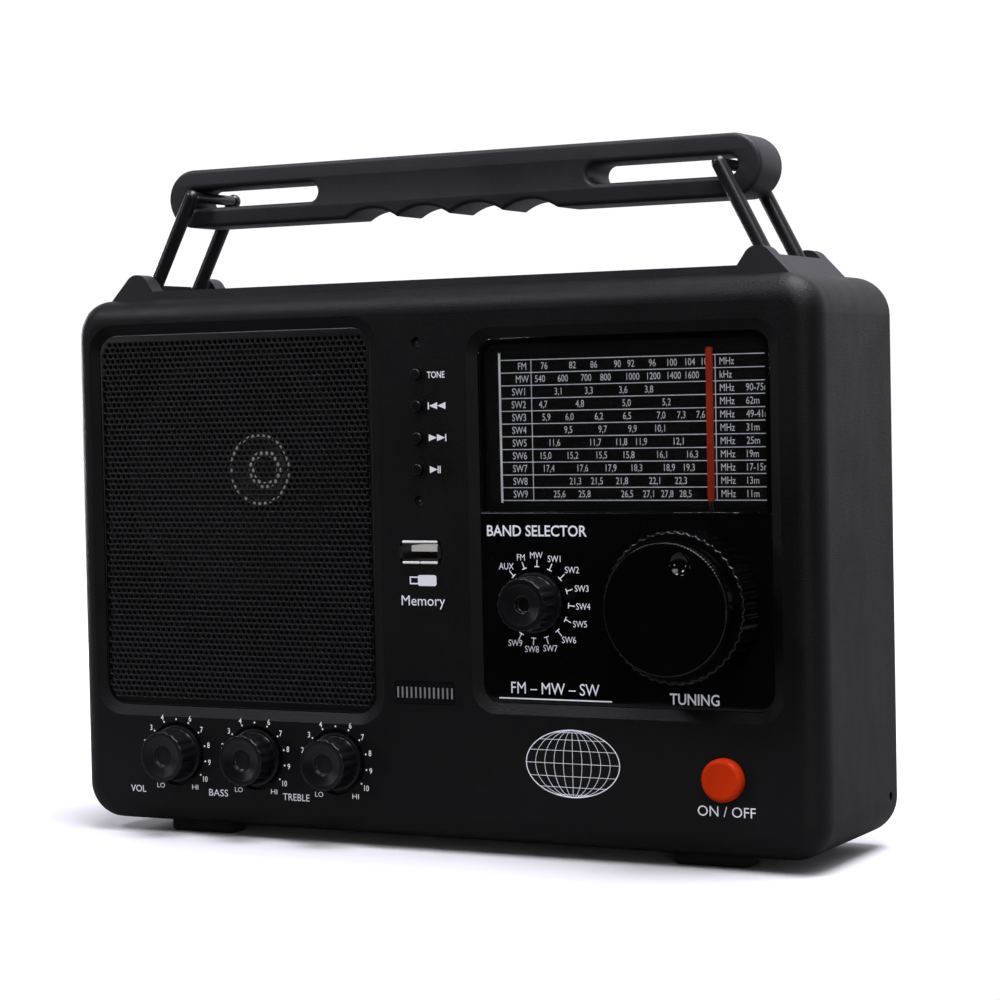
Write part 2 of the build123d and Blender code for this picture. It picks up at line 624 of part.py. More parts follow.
# ---------------------------------------------------------------- tuning and band selection
def fluted_outline(x, z, size, flutes, depth):
    """Circle with shallow round hollows cut out of its edge."""
    outline = Circle(size / 2)
    width = math.pi * size / flutes
    radius = (width ** 2 / 4 + depth ** 2) / (2 * depth)
    reach = size / 2 - depth + radius
    cutters = PolarLocations(reach, flutes) * Circle(radius)
    return Pos(x, z) * (outline - cutters)


def tuning_knob():
    """Scalloped grip ring with a bore for the shaft."""
    outline = fluted_outline(TUNING_X, TUNING_HEIGHT, TUNING_SIZE, TUNING_FLUTES, 0.45)
    ring = slab(outline, -TUNING_RING_PROUD, BEVEL_DEPTH - EASY)
    return ring - disc(TUNING_X, TUNING_HEIGHT, SHAFT_SIZE, -TUNING_RING_PROUD, BEVEL_DEPTH)


def tuning_knob_cap():
    """Smooth front cap with a hollow for a fingertip."""
    cap = disc(TUNING_X, TUNING_HEIGHT, TUNING_CAP_SIZE, -TUNING_PROUD, -TUNING_RING_PROUD)
    cap = chamfer(cap.faces().sort_by(Axis.Y)[0].edges(), 0.5)
    ball = (HOLLOW_SIZE ** 2 / 4 + HOLLOW_DEPTH ** 2) / (2 * HOLLOW_DEPTH)
    depth = HOLLOW_DEPTH - TUNING_PROUD - ball
    place = Pos(TUNING_X + HOLLOW_ACROSS, FRONT_Y + depth, FOOT_HEIGHT + TUNING_HEIGHT + HOLLOW_UP)
    cap -= place * Sphere(ball)
    return cap - disc(TUNING_X, TUNING_HEIGHT, SHAFT_SIZE, -TUNING_RING_PROUD - 1.5, -TUNING_RING_PROUD)


def small_knob(x, z, size, proud, seat):
    """Fluted knob that narrows a little to the front, with a dished face."""
    skirt = disc(x, z, size + 2.0, seat - 2.2, seat)
    body = slab(fluted_outline(x, z, size, 12, 0.5), -proud, seat - 2.2)
    dish = turned([(0, 0), (size / 2 - 2.2, 0), (3.4, 0.9), (3.4, 1.8), (0, 1.8)], x, z, -proud)
    return skirt + body - dish - disc(x, z, SHAFT_SIZE, -proud + 3, seat)


def switch_can(x, z, size, start, length):
    """Round switch or potentiometer with a threaded neck, bored for its shaft."""
    can = disc(x, z, size, start, start + length)
    neck = disc(x, z, SHAFT_SIZE + 2.4, start - 1.2, start)
    return can + neck - disc(x, z, SHAFT_SIZE + 2 * RUNNING, start - 2, start + length - 1.5)


SHAFT_SEAT = FRONT_WALL + GAP + 1.2

save("tuning_knob", tuning_knob())
save("tuning_knob_cap", tuning_knob_cap())
tuning_shaft = disc(TUNING_X, TUNING_HEIGHT, SHAFT_SIZE, -TUNING_RING_PROUD - 1.5, MAIN_BOARD_DEPTH - 1.5)
save("tuning_shaft", tuning_shaft)
drum_hub = disc(DRUM_X, TUNING_HEIGHT, 4.0, DRUM_DEPTH, DRUM_DEPTH + DRUM_THICK + 3)
save("tuning_drum", disc(DRUM_X, TUNING_HEIGHT, DRUM_SIZE, DRUM_DEPTH, DRUM_DEPTH + DRUM_THICK) + drum_hub)
capacitor_front = DRUM_DEPTH + DRUM_THICK + 0.5
capacitor = block(DRUM_X - 10, DRUM_X + 10, capacitor_front, MAIN_BOARD_DEPTH, TUNING_HEIGHT - 10, TUNING_HEIGHT + 10)
capacitor -= disc(DRUM_X, TUNING_HEIGHT, 4.0 + 2 * RUNNING, capacitor_front, DRUM_DEPTH + DRUM_THICK + 3.5)
save("tuning_capacitor", capacitor)

band_seat = BEVEL_DEPTH - EASY
save("band_selector_knob", small_knob(BAND_X, TUNING_HEIGHT, BAND_KNOB_SIZE, BAND_KNOB_PROUD, band_seat))
band_shaft_end = SHAFT_SEAT + 8.0
save("band_selector_shaft", disc(BAND_X, TUNING_HEIGHT, SHAFT_SIZE, -BAND_KNOB_PROUD + 3, band_shaft_end))
save("band_switch", switch_can(BAND_X, TUNING_HEIGHT, BAND_SWITCH_SIZE, SHAFT_SEAT, 12.0))

for name, knob_x in KNOB_XS.items():
    knob_seat = DISH_DEPTH - EASY
    save(f"{name}_knob", small_knob(knob_x, SMALL_KNOB_HEIGHT, SMALL_KNOB_SIZE, SMALL_KNOB_PROUD, knob_seat))
    shaft_end = SHAFT_SEAT + POT_DEPTH - 2.0
    save(f"{name}_shaft", disc(knob_x, SMALL_KNOB_HEIGHT, SHAFT_SIZE, -SMALL_KNOB_PROUD + 3, shaft_end))
    save(f"{name}_potentiometer", switch_can(knob_x, SMALL_KNOB_HEIGHT, POT_SIZE, SHAFT_SEAT, POT_DEPTH))


# ---------------------------------------------------------------- player buttons, socket and power button
def push_button(z):
    """Round button with a flange behind the front wall."""
    stem = disc(0, z, BUTTON_SIZE, -BUTTON_PROUD, FRONT_WALL + GAP + 1.0)
    stem = fillet(stem.faces().sort_by(Axis.Y)[0].edges(), 0.5)
    return stem + disc(0, z, BUTTON_SIZE + 2.0, FRONT_WALL + GAP, FRONT_WALL + GAP + 1.0)


def usb_shell():
    """Folded sheet socket with flared lips at its mouth."""
    outer = rounded(0, USB_Z, USB_WIDTH, USB_HEIGHT, 0.6)
    inner = rounded(0, USB_Z, USB_WIDTH - 2 * USB_SHEET, USB_HEIGHT - 2 * USB_SHEET, 0.3)
    shell = slab(outer, 0, USB_LENGTH) - slab(inner, 0, USB_LENGTH - USB_SHEET)
    for side in (-1, 1):
        lip_z = USB_Z + side * (USB_HEIGHT / 2 + USB_LIP / 2 - USB_SHEET / 2)
        lip = Pos(0, lip_z) * Rectangle(USB_WIDTH - 3.0, USB_LIP + USB_SHEET)
        shell += slab(lip, -USB_SHEET, 0)
        lip_x = side * (USB_WIDTH / 2 + USB_LIP / 2 - USB_SHEET / 2)
        cheek = Pos(lip_x, USB_Z) * Rectangle(USB_LIP + USB_SHEET, USB_HEIGHT - 2.0)
        shell += slab(cheek, -USB_SHEET, 0)
    return shell


def player_board():
    """Small upright board behind the buttons, cut out round the socket."""
    top = BOARD_SCREW_HEIGHTS[0] + 5.0
    board = slab(between(-9.5, 9.5, USB_Z - 8, top), PLAYER_BOARD_DEPTH, PLAYER_BOARD_DEPTH + BOARD_THICK)
    cutout = rounded(0, USB_Z, USB_WIDTH + EASY, USB_HEIGHT + EASY, 0.6)
    board -= slab(cutout, PLAYER_BOARD_DEPTH, PLAYER_BOARD_DEPTH + BOARD_THICK)
    for z in BOARD_SCREW_HEIGHTS:
        board -= disc(0, z, 1.8 + 2 * RUNNING, PLAYER_BOARD_DEPTH, PLAYER_BOARD_DEPTH + BOARD_THICK)
    return board


def board_screws():
    """Two countersunk screws that hold the player board from the front."""
    screws = []
    for z in BOARD_SCREW_HEIGHTS:
        head = disc(0, z, 3.2, 2.2, 3.2) - slab(Pos(0, z) * Rectangle(2.4, 0.6), 2.2, 2.7)
        screws.append(head + disc(0, z, 1.8, 3.2, PLAYER_BOARD_DEPTH + BOARD_THICK + 1.5))
    return Compound(children=screws)


def tact_switches():
    """One switch behind each button, clear of its flange by the travel."""
    front = FRONT_WALL + GAP + 1.0 + BUTTON_TRAVEL + 0.1
    return Compound(children=[slab(Pos(0, z) * Rectangle(6, 6), front, PLAYER_BOARD_DEPTH) for z in tact_spots()])


def power_button():
    """Domed button with a flange behind the front wall and a stem into the switch."""
    dome = disc(POWER_X, POWER_HEIGHT, POWER_SIZE, -POWER_PROUD, FRONT_WALL + GAP + 1.2)
    dome = fillet(dome.faces().sort_by(Axis.Y)[0].edges(), 1.6)
    flange = disc(POWER_X, POWER_HEIGHT, POWER_SIZE + 3.0, FRONT_WALL + GAP, FRONT_WALL + GAP + 1.2)
    return dome + flange + disc(POWER_X, POWER_HEIGHT, 4.6, FRONT_WALL, POWER_SWITCH_FRONT + 1.0)


POWER_SWITCH_FRONT = FRONT_WALL + GAP + 1.2 + POWER_TRAVEL + 0.5


def power_switch():
    """Latching switch block, bored for the button's stem."""
    box = slab(Pos(POWER_X, POWER_HEIGHT) * Rectangle(16, 16), POWER_SWITCH_FRONT, POWER_SWITCH_FRONT + 14)
    return box - disc(POWER_X, POWER_HEIGHT, 5.2, POWER_SWITCH_FRONT, POWER_SWITCH_FRONT + 1.0 + POWER_TRAVEL + 0.5)


for name, button_z in zip(("eq", "previous", "next", "play"), tact_spots()):
    save(f"{name}_button", push_button(button_z))
save("usb_shell", usb_shell())
save("usb_tongue", slab(Pos(0, USB_Z + 0.9) * Rectangle(11.2, 1.9), TONGUE_DEPTH, USB_LENGTH - USB_SHEET))
save("player_board", player_board())
save("board_screws", board_screws())
save("tact_switches", tact_switches())
save("power_button", power_button())
save("power_switch", power_switch())
save("badge_plate", slab(rounded(BADGE_X, BADGE_Z, BADGE_WIDTH - EASY, BADGE_HEIGHT - EASY, 0.5), 0.1, 1.0))


# ---------------------------------------------------------------- electronics inside
def main_board():
    """Upright circuit board on the four posts, with a clear hole behind the tuning shaft."""
    left = PANEL_X - PANEL_WIDTH / 2 - 6.0
    right = HALF_WIDTH - 6.0
    board = slab(between(left, right, 40, 144), MAIN_BOARD_DEPTH, MAIN_BOARD_DEPTH + BOARD_THICK)
    for x, z in ((30, 120), (52, 118), (80, 122), (104, 118), (40, 50), (100, 50)):
        board += disc(x, z, 9.0, MAIN_BOARD_DEPTH - 9.0, MAIN_BOARD_DEPTH)
    return board


def transformer():
    """Laminated mains transformer on the cabinet's floor."""
    core = block(76, 118, 32, 58, WALL, WALL + 36)
    return core - block(82, 112, 31, 36, WALL + 6, WALL + 30) - block(82, 112, 54, 59, WALL + 6, WALL + 30)


def ac_inlet():
    """Mains socket: moulded well with two pins, open to the rear."""
    front = BODY_DEPTH - 15.0
    well = slab(inlet_outline(0), front, BODY_DEPTH)
    flange = slab(inlet_outline(2.0), BODY_DEPTH - WALL - 1.5, BODY_DEPTH - WALL)
    cavity = slab(inlet_outline(-1.2), front + 2.0, BODY_DEPTH)
    socket = well + flange - cavity
    for side in (-1, 1):
        socket += disc(INLET_X + side * INLET_PITCH / 2, INLET_Z, 2.4, front, BODY_DEPTH - 3.0)
    return socket


def voltage_selector():
    """Recessed slider, at the left end of its slot."""
    left = INLET_X - 5.0 + EASY
    right = INLET_X + 5.0 - EASY - SELECTOR_TRAVEL
    knob = block(left, right, BODY_DEPTH - 2.0, BODY_DEPTH - 0.6, SELECTOR_Z - 3.0 + EASY, SELECTOR_Z + 3.0 - EASY)
    knob -= block(left + 2.2, right - 2.2, BODY_DEPTH - 1.1, BODY_DEPTH - 0.6, SELECTOR_Z - 4, SELECTOR_Z + 4)
    keeper_front = BODY_DEPTH - WALL - EASY - 2.0
    keeper = block(left - 2.0, right + 2.0, keeper_front, BODY_DEPTH - WALL - EASY, SELECTOR_Z - 4.5, SELECTOR_Z + 4.5)
    neck = block(left, right, BODY_DEPTH - WALL - EASY, BODY_DEPTH - 2.0, SELECTOR_Z - 3.0 + EASY, SELECTOR_Z + 3.0 - EASY)
    return knob + keeper + neck


def ferrite_coils():
    """Two wound formers on the ferrite rod."""
    coils = []
    for x in (-60.0, 30.0):
        former = bar_along_x(x, x + 18, FERRITE_DEPTH, FERRITE_Z, FERRITE_SIZE + 3.0)
        coils.append(former - bar_along_x(x - 1, x + 19, FERRITE_DEPTH, FERRITE_Z, FERRITE_SIZE + 2 * RUNNING))
    return Compound(children=coils)


def battery_contacts():
    """Contact plates at both ends of the two battery rows."""
    plates = []
    row = BAY_HEIGHT / 2
    for side in (-1, 1):
        for index in range(2):
            z = BAY_BOTTOM + (index + 0.5) * row
            x = side * (BAY_WIDTH / 2 - 0.25)
            plate = block(x - 0.25, x + 0.25, BAY_FRONT + 8, BAY_FRONT + 26, z - 9, z + 9)
            plates.append(plate)
    return Compound(children=plates)


def battery_door():
    """Flush lid with a finger notch at its top edge."""
    outline = between(-BAY_WIDTH / 2, BAY_WIDTH / 2, BAY_BOTTOM, BAY_TOP)
    lid = slab(offset(outline, DOOR_LAP - EASY, kind=Kind.INTERSECTION), BODY_DEPTH - WALL / 2 + 0.05, BODY_DEPTH)
    inner = slab(offset(outline, -EASY, kind=Kind.INTERSECTION), BODY_DEPTH - WALL, BODY_DEPTH - WALL / 2 + 0.05)
    notch = block(-9, 9, BODY_DEPTH - 0.8, BODY_DEPTH, BAY_TOP - 5, BAY_TOP - 1)
    return lid + inner - notch


save("main_board", main_board())
save("transformer", transformer())
save("ac_inlet", ac_inlet())
save("voltage_selector", voltage_selector())
save("ferrite_rod", bar_along_x(-68.0, -68.0 + FERRITE_LENGTH, FERRITE_DEPTH, FERRITE_Z, FERRITE_SIZE))
save("ferrite_coils", ferrite_coils())
save("battery_contacts", battery_contacts())
save("battery_door", battery_door())


# ---------------------------------------------------------------- telescopic antenna
ELBOW_Y = FRONT_Y + MAST_DEPTH
ELBOW_Z = FOOT_HEIGHT + MAST_Z
ROOT_LENGTH = 6.0


def antenna_base():
    """Swivel with two ears, turning on a stub in the channel's floor."""
    floor = FOOT_HEIGHT + REBATE_FLOOR
    foot = Pos(ANTENNA_X, ELBOW_Y, floor + 0.1) * Cylinder(4.0, 1.2, align=(Align.CENTER, Align.CENTER, Align.MIN))
    stub = Pos(ANTENNA_X, ELBOW_Y, floor - WALL) * Cylinder(2.0, WALL + 0.5, align=(Align.CENTER, Align.CENTER, Align.MIN))
    swivel = foot + stub
    reach = ELBOW_THICK / 2 + RUNNING
    for side in (-1, 1):
        middle = MAST_DEPTH + side * (reach + EAR_THICK / 2)
        ear_outline = Pos(ANTENNA_X, MAST_Z) * Circle(2.6) + between(ANTENNA_X - 2.6, ANTENNA_X + 2.6, REBATE_FLOOR + 0.6, MAST_Z)
        ear = slab(ear_outline, middle - EAR_THICK / 2, middle + EAR_THICK / 2)
        swivel += ear
    return swivel - disc(ANTENNA_X, MAST_Z, 1.8 + 2 * RUNNING, MAST_DEPTH - 5, MAST_DEPTH + 5)


def antenna_mast():
    """Outermost section: elbow tongue with its pin, and a tube open at the far end."""
    half = ELBOW_THICK / 2
    tongue_outline = Pos(ANTENNA_X, MAST_Z) * Circle(2.5)
    tongue_outline += between(ANTENNA_X - ROOT_LENGTH, ANTENNA_X, MAST_Z - 2.5, MAST_Z + 2.5)
    root = slab(tongue_outline, MAST_DEPTH - half, MAST_DEPTH + half)
    root += disc(ANTENNA_X, MAST_Z, 1.8, MAST_DEPTH - half - EAR_THICK, MAST_DEPTH + half + EAR_THICK)
    start = ANTENNA_X - ROOT_LENGTH + 1.0
    body = bar_along_x(start - MAST_LENGTH, start, MAST_DEPTH, MAST_Z, MAST_SIZES[0])
    bore = bar_along_x(start - MAST_LENGTH, start - 4.0, MAST_DEPTH, MAST_Z, MAST_SIZES[0] - 2 * MAST_WALL)
    return root + body - bore


def antenna_section(index):
    """Inner section, nested in the one outside it."""
    size = MAST_SIZES[index]
    tail = ANTENNA_X - ROOT_LENGTH + 1.0 - 4.0 - 0.5 * index
    tip = ANTENNA_X - ROOT_LENGTH + 1.0 - MAST_LENGTH - MAST_OVERLAP * index
    section = bar_along_x(tip, tail, MAST_DEPTH, MAST_Z, size)
    last = index == len(MAST_SIZES) - 1
    if last:
        return section + bar_along_x(tip - 5.0, tip, MAST_DEPTH, MAST_Z, MAST_SIZES[0] - 0.6)
    return section - bar_along_x(tip, tail - 0.4, MAST_DEPTH, MAST_Z, size - 2 * MAST_WALL)


save("antenna_base", antenna_base())
save("antenna_mast", antenna_mast())
for section_index in range(1, len(MAST_SIZES)):
    save(f"antenna_section_{section_index + 1}", antenna_section(section_index))
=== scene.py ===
"""Looks of a portable shortwave receiver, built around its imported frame.

Every piece is in the frame's own axes: X to the right as seen from the front, Y to the rear, Z up, in metres.
Inside the classes, sizes are millimetres: x from the middle of the cabinet, depth behind its front face and
height above its underside. A Datum turns the three of them into a point of the frame.
"""

import json
import logging
import math
from dataclasses import dataclass, field
from enum import Enum

import bpy
import numpy as np
from mathutils import Matrix, Vector
from mathutils.geometry import tessellate_polygon

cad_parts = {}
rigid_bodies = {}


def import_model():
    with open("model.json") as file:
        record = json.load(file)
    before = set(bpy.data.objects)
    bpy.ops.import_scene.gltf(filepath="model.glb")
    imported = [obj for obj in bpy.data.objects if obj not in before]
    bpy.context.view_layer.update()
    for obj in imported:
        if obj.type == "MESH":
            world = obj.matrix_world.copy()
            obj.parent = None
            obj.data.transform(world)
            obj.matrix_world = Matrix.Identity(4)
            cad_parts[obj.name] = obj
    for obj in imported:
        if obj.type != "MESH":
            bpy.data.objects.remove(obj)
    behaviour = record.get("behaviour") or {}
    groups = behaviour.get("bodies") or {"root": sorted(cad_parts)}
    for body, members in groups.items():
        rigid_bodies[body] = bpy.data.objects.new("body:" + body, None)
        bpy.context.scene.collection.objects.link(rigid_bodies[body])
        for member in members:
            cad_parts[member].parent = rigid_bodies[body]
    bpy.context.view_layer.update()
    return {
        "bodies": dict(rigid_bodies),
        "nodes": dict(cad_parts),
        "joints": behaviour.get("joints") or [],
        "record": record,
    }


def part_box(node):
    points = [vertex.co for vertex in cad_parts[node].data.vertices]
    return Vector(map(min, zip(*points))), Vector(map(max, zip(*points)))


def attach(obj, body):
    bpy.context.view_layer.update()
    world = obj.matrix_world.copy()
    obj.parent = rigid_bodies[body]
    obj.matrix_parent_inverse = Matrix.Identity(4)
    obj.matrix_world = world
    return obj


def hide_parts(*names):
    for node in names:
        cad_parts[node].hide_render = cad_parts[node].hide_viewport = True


MM = 0.001
TURN = 2.0 * math.pi
LATTICE_STRIDE = 100000  # more than any count of lattice points across the grille
log = logging.getLogger("receiver")


# ------------------------------------------------------------------ shapes
@dataclass
class Shell:
    """A closed surface: points in millimetres (x, depth, height), with its quads and triangles.

    radius is the distance of each point from its own turning axis, for finishes that follow the lathe.
    """

    points: np.ndarray
    quads: np.ndarray = field(default_factory=lambda: np.zeros((0, 4), int))
    tris: np.ndarray = field(default_factory=lambda: np.zeros((0, 3), int))
    radius: np.ndarray | None = None

    def volume(self) -> float:
        """Signed volume, the sum of the tetrahedra from the origin to each triangle."""
        q = self.quads
        tris = np.vstack([self.tris, q[:, [0, 1, 2]], q[:, [0, 2, 3]]])
        a, b, c = (self.points[tris[:, k]] for k in range(3))
        return float(np.einsum("ij,ij->i", a, np.cross(b, c)).sum() / 6.0)

    def outward(self) -> "Shell":
        """The same shell with every face turned to look out."""
        if self.volume() < 0.0:
            return Shell(self.points, self.quads[:, ::-1], self.tris[:, ::-1], self.radius)
        return self


def joined(shells: list[Shell]) -> Shell:
    """One shell from several.

    Args:
        shells: the shells, which keep their own points.

    Returns:
        A shell that holds all of them.
    """
    starts = np.cumsum([0] + [len(s.points) for s in shells[:-1]])
    radii = [s.radius if s.radius is not None else np.zeros(len(s.points)) for s in shells]
    return Shell(
        np.vstack([s.points for s in shells]),
        np.vstack([s.quads + k for s, k in zip(shells, starts)]),
        np.vstack([s.tris + k for s, k in zip(shells, starts)]),
        np.concatenate(radii),
    )


def strip_quads(rows: int, columns: int, start: int = 0) -> np.ndarray:
    """Quads of a grid that is closed across its columns, as a ring or tube is.

    Args:
        rows: number of rings.
        columns: points in a ring.
        start: number of the first point.

    Returns:
        An array of quads, one row each.
    """
    r, c = np.meshgrid(np.arange(rows - 1), np.arange(columns), indexing="ij")
    n = (c + 1) % columns
    quads = np.stack([r * columns + c, r * columns + n, (r + 1) * columns + n, (r + 1) * columns + c], axis=-1)
    return quads.reshape(-1, 4) + start


@dataclass(frozen=True)
class Flutes:
    """Round hollows cut lengthways in the edge of a knob, between two depths."""

    count: int
    depth: float
    start: float
    end: float

    def cut(self, angle: np.ndarray, depth: np.ndarray) -> np.ndarray:
        """How far the surface is cut in: a raised cosine round the knob, faded in over 0.4 mm at both ends."""
        along = np.clip((depth - self.start) / 0.4, 0, 1) * np.clip((self.end - depth) / 0.4, 0, 1)
        around = np.abs(np.cos(angle * self.count / 2.0)) ** 1.5
        return self.depth * around * along


def turned(profile: list[tuple[float, float]], x: float, height: float, segments: int, flutes: Flutes | None = None,
           hollow: tuple[float, float, float, float] | None = None) -> Shell:
    """Surface of revolution about an axis through the front: each profile point is carried round a circle.

    A point is (x + r sin a, depth, height + r cos a), where r is the profile's radius less the flute's cut. A hollow
    pushes the front face back by the depth of a ball's cap centred beside the axis.

    Args:
        profile: radius and depth pairs, first and last on the axis.
        x: axis, from the middle of the cabinet.
        height: axis, above the underside.
        segments: points round the circle.
        flutes: hollows in the edge, if any.
        hollow: a fingertip's hollow as its centre's x and height from the axis, its radius and its depth.

    Returns:
        The closed shell.
    """
    outline = np.array(profile, float)
    angle = np.arange(segments) / segments * TURN
    radius, depth = (np.repeat(outline[1:-1, k][:, None], segments, axis=1) for k in (0, 1))
    nominal = radius.copy()
    if flutes:
        radius = radius - flutes.cut(angle[None, :], depth) * np.clip(radius / outline[:, 0].max() * 8 - 6.5, 0, 1)
    across, up = radius * np.sin(angle), radius * np.cos(angle)
    if hollow:
        ball = (hollow[2] ** 2 + hollow[3] ** 2) / (2 * hollow[3])
        away = (across - hollow[0]) ** 2 + (up - hollow[1]) ** 2
        cap = np.sqrt(np.clip(ball**2 - away, 0, None)) - (ball - hollow[3])
        depth = np.where(depth < outline[:, 1].min() + 0.2, depth + np.clip(cap, 0, None), depth)
    rings = np.stack([x + across, depth, height + up], axis=-1).reshape(-1, 3)
    ends = np.array([[x, outline[0, 1], height], [x, outline[-1, 1], height]])
    first, last = len(rings), len(rings) + 1
    here = np.arange(segments)
    after = (here + 1) % segments
    tail = (len(outline) - 3) * segments
    fans = np.vstack([
        np.stack([np.full(segments, first), after, here], axis=1),
        np.stack([np.full(segments, last), tail + here, tail + after], axis=1),
    ])
    shell = Shell(np.vstack([rings, ends]), strip_quads(len(outline) - 2, segments), fans,
                  np.concatenate([nominal.ravel(), [0.0, 0.0]]))
    return shell.outward()


def quarter_round(radius: float, front: float, ease: float) -> list[tuple[float, float]]:
    """Profile of an eased edge, from the side of a turned piece round to its front face."""
    return [(radius - ease + ease * math.cos(t), front + ease - ease * math.sin(t))
            for t in np.linspace(0, math.pi / 2, 6)]


def arc(centre: tuple[float, float], radius: float, start: float, end: float, count: int) -> np.ndarray:
    """Points along an arc, angles in degrees from the first axis towards the second."""
    angle = np.radians(np.linspace(start, end, count))
    return np.stack([centre[0] + radius * np.cos(angle), centre[1] + radius * np.sin(angle)], axis=1)


def rounded_outline(x: float, height: float, width: float, tall: float, radius: float, steps: int = 10) -> np.ndarray:
    """Rectangle with round corners, anticlockwise as seen from the front."""
    w, t = width / 2 - radius, tall / 2 - radius
    corners = [(w, -t, -90), (w, t, 0), (-w, t, 90), (-w, -t, 180)]
    return np.vstack([arc((x + a, height + b), radius, s, s + 90, steps) for a, b, s in corners])


def inset(loop: np.ndarray, distance: float) -> np.ndarray:
    """The loop moved to its left by a distance, each point along the mean of its two edges' normals."""
    ahead = np.roll(loop, -1, axis=0) - loop
    ahead /= np.linalg.norm(ahead, axis=1, keepdims=True)
    left = np.stack([-ahead[:, 1], ahead[:, 0]], axis=1)
    both = left + np.roll(left, 1, axis=0)
    return loop + distance * 2.0 * both / np.maximum((both**2).sum(axis=1, keepdims=True), 0.8)


def faced(points: np.ndarray, tris: np.ndarray) -> np.ndarray:
    """The triangles, each one turned so that it looks out of the front."""
    a, b, c = (points[tris[:, k]][:, [0, 2]] for k in range(3))
    turning = (b - a)[:, 0] * (c - a)[:, 1] - (b - a)[:, 1] * (c - a)[:, 0]
    return np.where((turning > 0)[:, None], tris, tris[:, ::-1])


def plate(loops: list[np.ndarray], front: float, rear: float, edge: float, steps: int = 5) -> Shell:
    """Flat plate with quarter-round edges.

    Each loop is carried from the front cap round a quarter circle, straight back, and round the rear one. The caps
    are the loops' own plane regions, cut in triangles.

    Args:
        loops: the outline anticlockwise as seen from the front, then any holes clockwise.
        front: depth of the front face.
        rear: depth of the rear face.
        edge: radius of the edges.
        steps: rings in each quarter circle.

    Returns:
        The closed shell.
    """
    turn = np.linspace(0.0, math.pi / 2, steps)
    insets = np.concatenate([edge * (1 - np.sin(turn)), edge * (1 - np.sin(turn[::-1]))])
    depths = np.concatenate([front + edge * (1 - np.cos(turn)), rear - edge * (1 - np.cos(turn[::-1]))])
    parts, start = [], 0
    first, last = [], []
    for loop in loops:
        rings = np.stack([np.insert(inset(loop, i), 1, d, axis=1) for i, d in zip(insets, depths)])
        parts.append(Shell(rings.reshape(-1, 3), strip_quads(len(rings), len(loop))))
        first.append(start + np.arange(len(loop)))
        last.append(start + (len(rings) - 1) * len(loop) + np.arange(len(loop)))
        start += len(rings) * len(loop)
    shell = joined(parts)
    cap = np.array(tessellate_polygon([[Vector((p[0], p[2], 0)) for p in shell.points[ids]] for ids in first]))
    front_ids, rear_ids = np.concatenate(first), np.concatenate(last)
    cap = faced(shell.points[front_ids], cap)
    return Shell(shell.points, shell.quads[:, ::-1],
                 np.vstack([front_ids[cap], rear_ids[cap[:, ::-1]]]), shell.radius).outward()


def prism(outline: np.ndarray, front: float, rear: float) -> Shell:
    """Thin straight-sided solid on a convex outline."""
    n = len(outline)
    rings = np.vstack([np.insert(outline, 1, front, axis=1), np.insert(outline, 1, rear, axis=1)])
    fan = np.stack([np.zeros(n - 2, int), np.arange(1, n - 1), np.arange(2, n)], axis=1)
    return Shell(rings, strip_quads(2, n)[:, ::-1], np.vstack([fan, fan[:, ::-1] + n])).outward()


# ------------------------------------------------------------------ finishes
class Effect(Enum):
    """The surface effects that finishes share, each one a node group."""

    GRAIN = "moulded_grain"
    LATHE = "lathe_rings"
    HANDLING = "handling_marks"
    DUST = "settled_dust"
    FIBRE = "pressed_fibre"
    WINDING = "wound_wire"


class Relief(Enum):
    """What a finish's relief follows."""

    NONE = None
    GRAIN = Effect.GRAIN
    LATHE = Effect.LATHE
    FIBRE = Effect.FIBRE
    WINDING = Effect.WINDING


class NodeBench:
    """Adds nodes to one tree and links them."""

    def __init__(self, tree: bpy.types.NodeTree) -> None:
        """Takes the tree to work on."""
        self.tree = tree

    def node(self, kind: str, values: dict[str, object] | None = None, **settings: object) -> bpy.types.Node:
        """Adds a node.

        Args:
            kind: Blender's name of the node.
            values: input sockets and the constants that go on them.
            settings: properties of the node.

        Returns:
            The node.
        """
        made = self.tree.nodes.new(kind)
        for key, value in settings.items():
            setattr(made, key, value)
        for key, value in (values or {}).items():
            made.inputs[key].default_value = value
        return made

    def link(self, source: bpy.types.NodeSocket, target: bpy.types.NodeSocket) -> None:
        """Joins an output to an input."""
        self.tree.links.new(source, target)

    def sum(self, kind: str, first: bpy.types.NodeSocket, second: bpy.types.NodeSocket | float) -> bpy.types.NodeSocket:
        """A Math node on one socket and a second socket or number, and its output."""
        made = self.node("ShaderNodeMath", operation=kind)
        self.link(first, made.inputs[0])
        if isinstance(second, (int, float)):
            made.inputs[1].default_value = float(second)
        else:
            self.link(second, made.inputs[1])
        return made.outputs[0]

    def spread(self, source: bpy.types.NodeSocket, low: float, high: float, to_low: float = 0.0,
               to_high: float = 1.0) -> bpy.types.NodeSocket:
        """The source's range low to high spread over another range, clamped."""
        values = {"From Min": low, "From Max": high, "To Min": to_low, "To Max": to_high}
        made = self.node("ShaderNodeMapRange", values)
        self.link(source, made.inputs["Value"])
        return made.outputs["Result"]

    def mix(self, mask: bpy.types.NodeSocket, low: object, high: object) -> bpy.types.NodeSocket:
        """Blends two colours, or a colour socket and a colour, by a mask."""
        node = self.node("ShaderNodeMix", data_type="RGBA")
        self.link(mask, node.inputs["Factor"])
        for key, value in ((6, low), (7, high)):
            if isinstance(value, tuple):
                node.inputs[key].default_value = (*value, 1.0)
            else:
                self.link(value, node.inputs[key])
        return node.outputs[2]


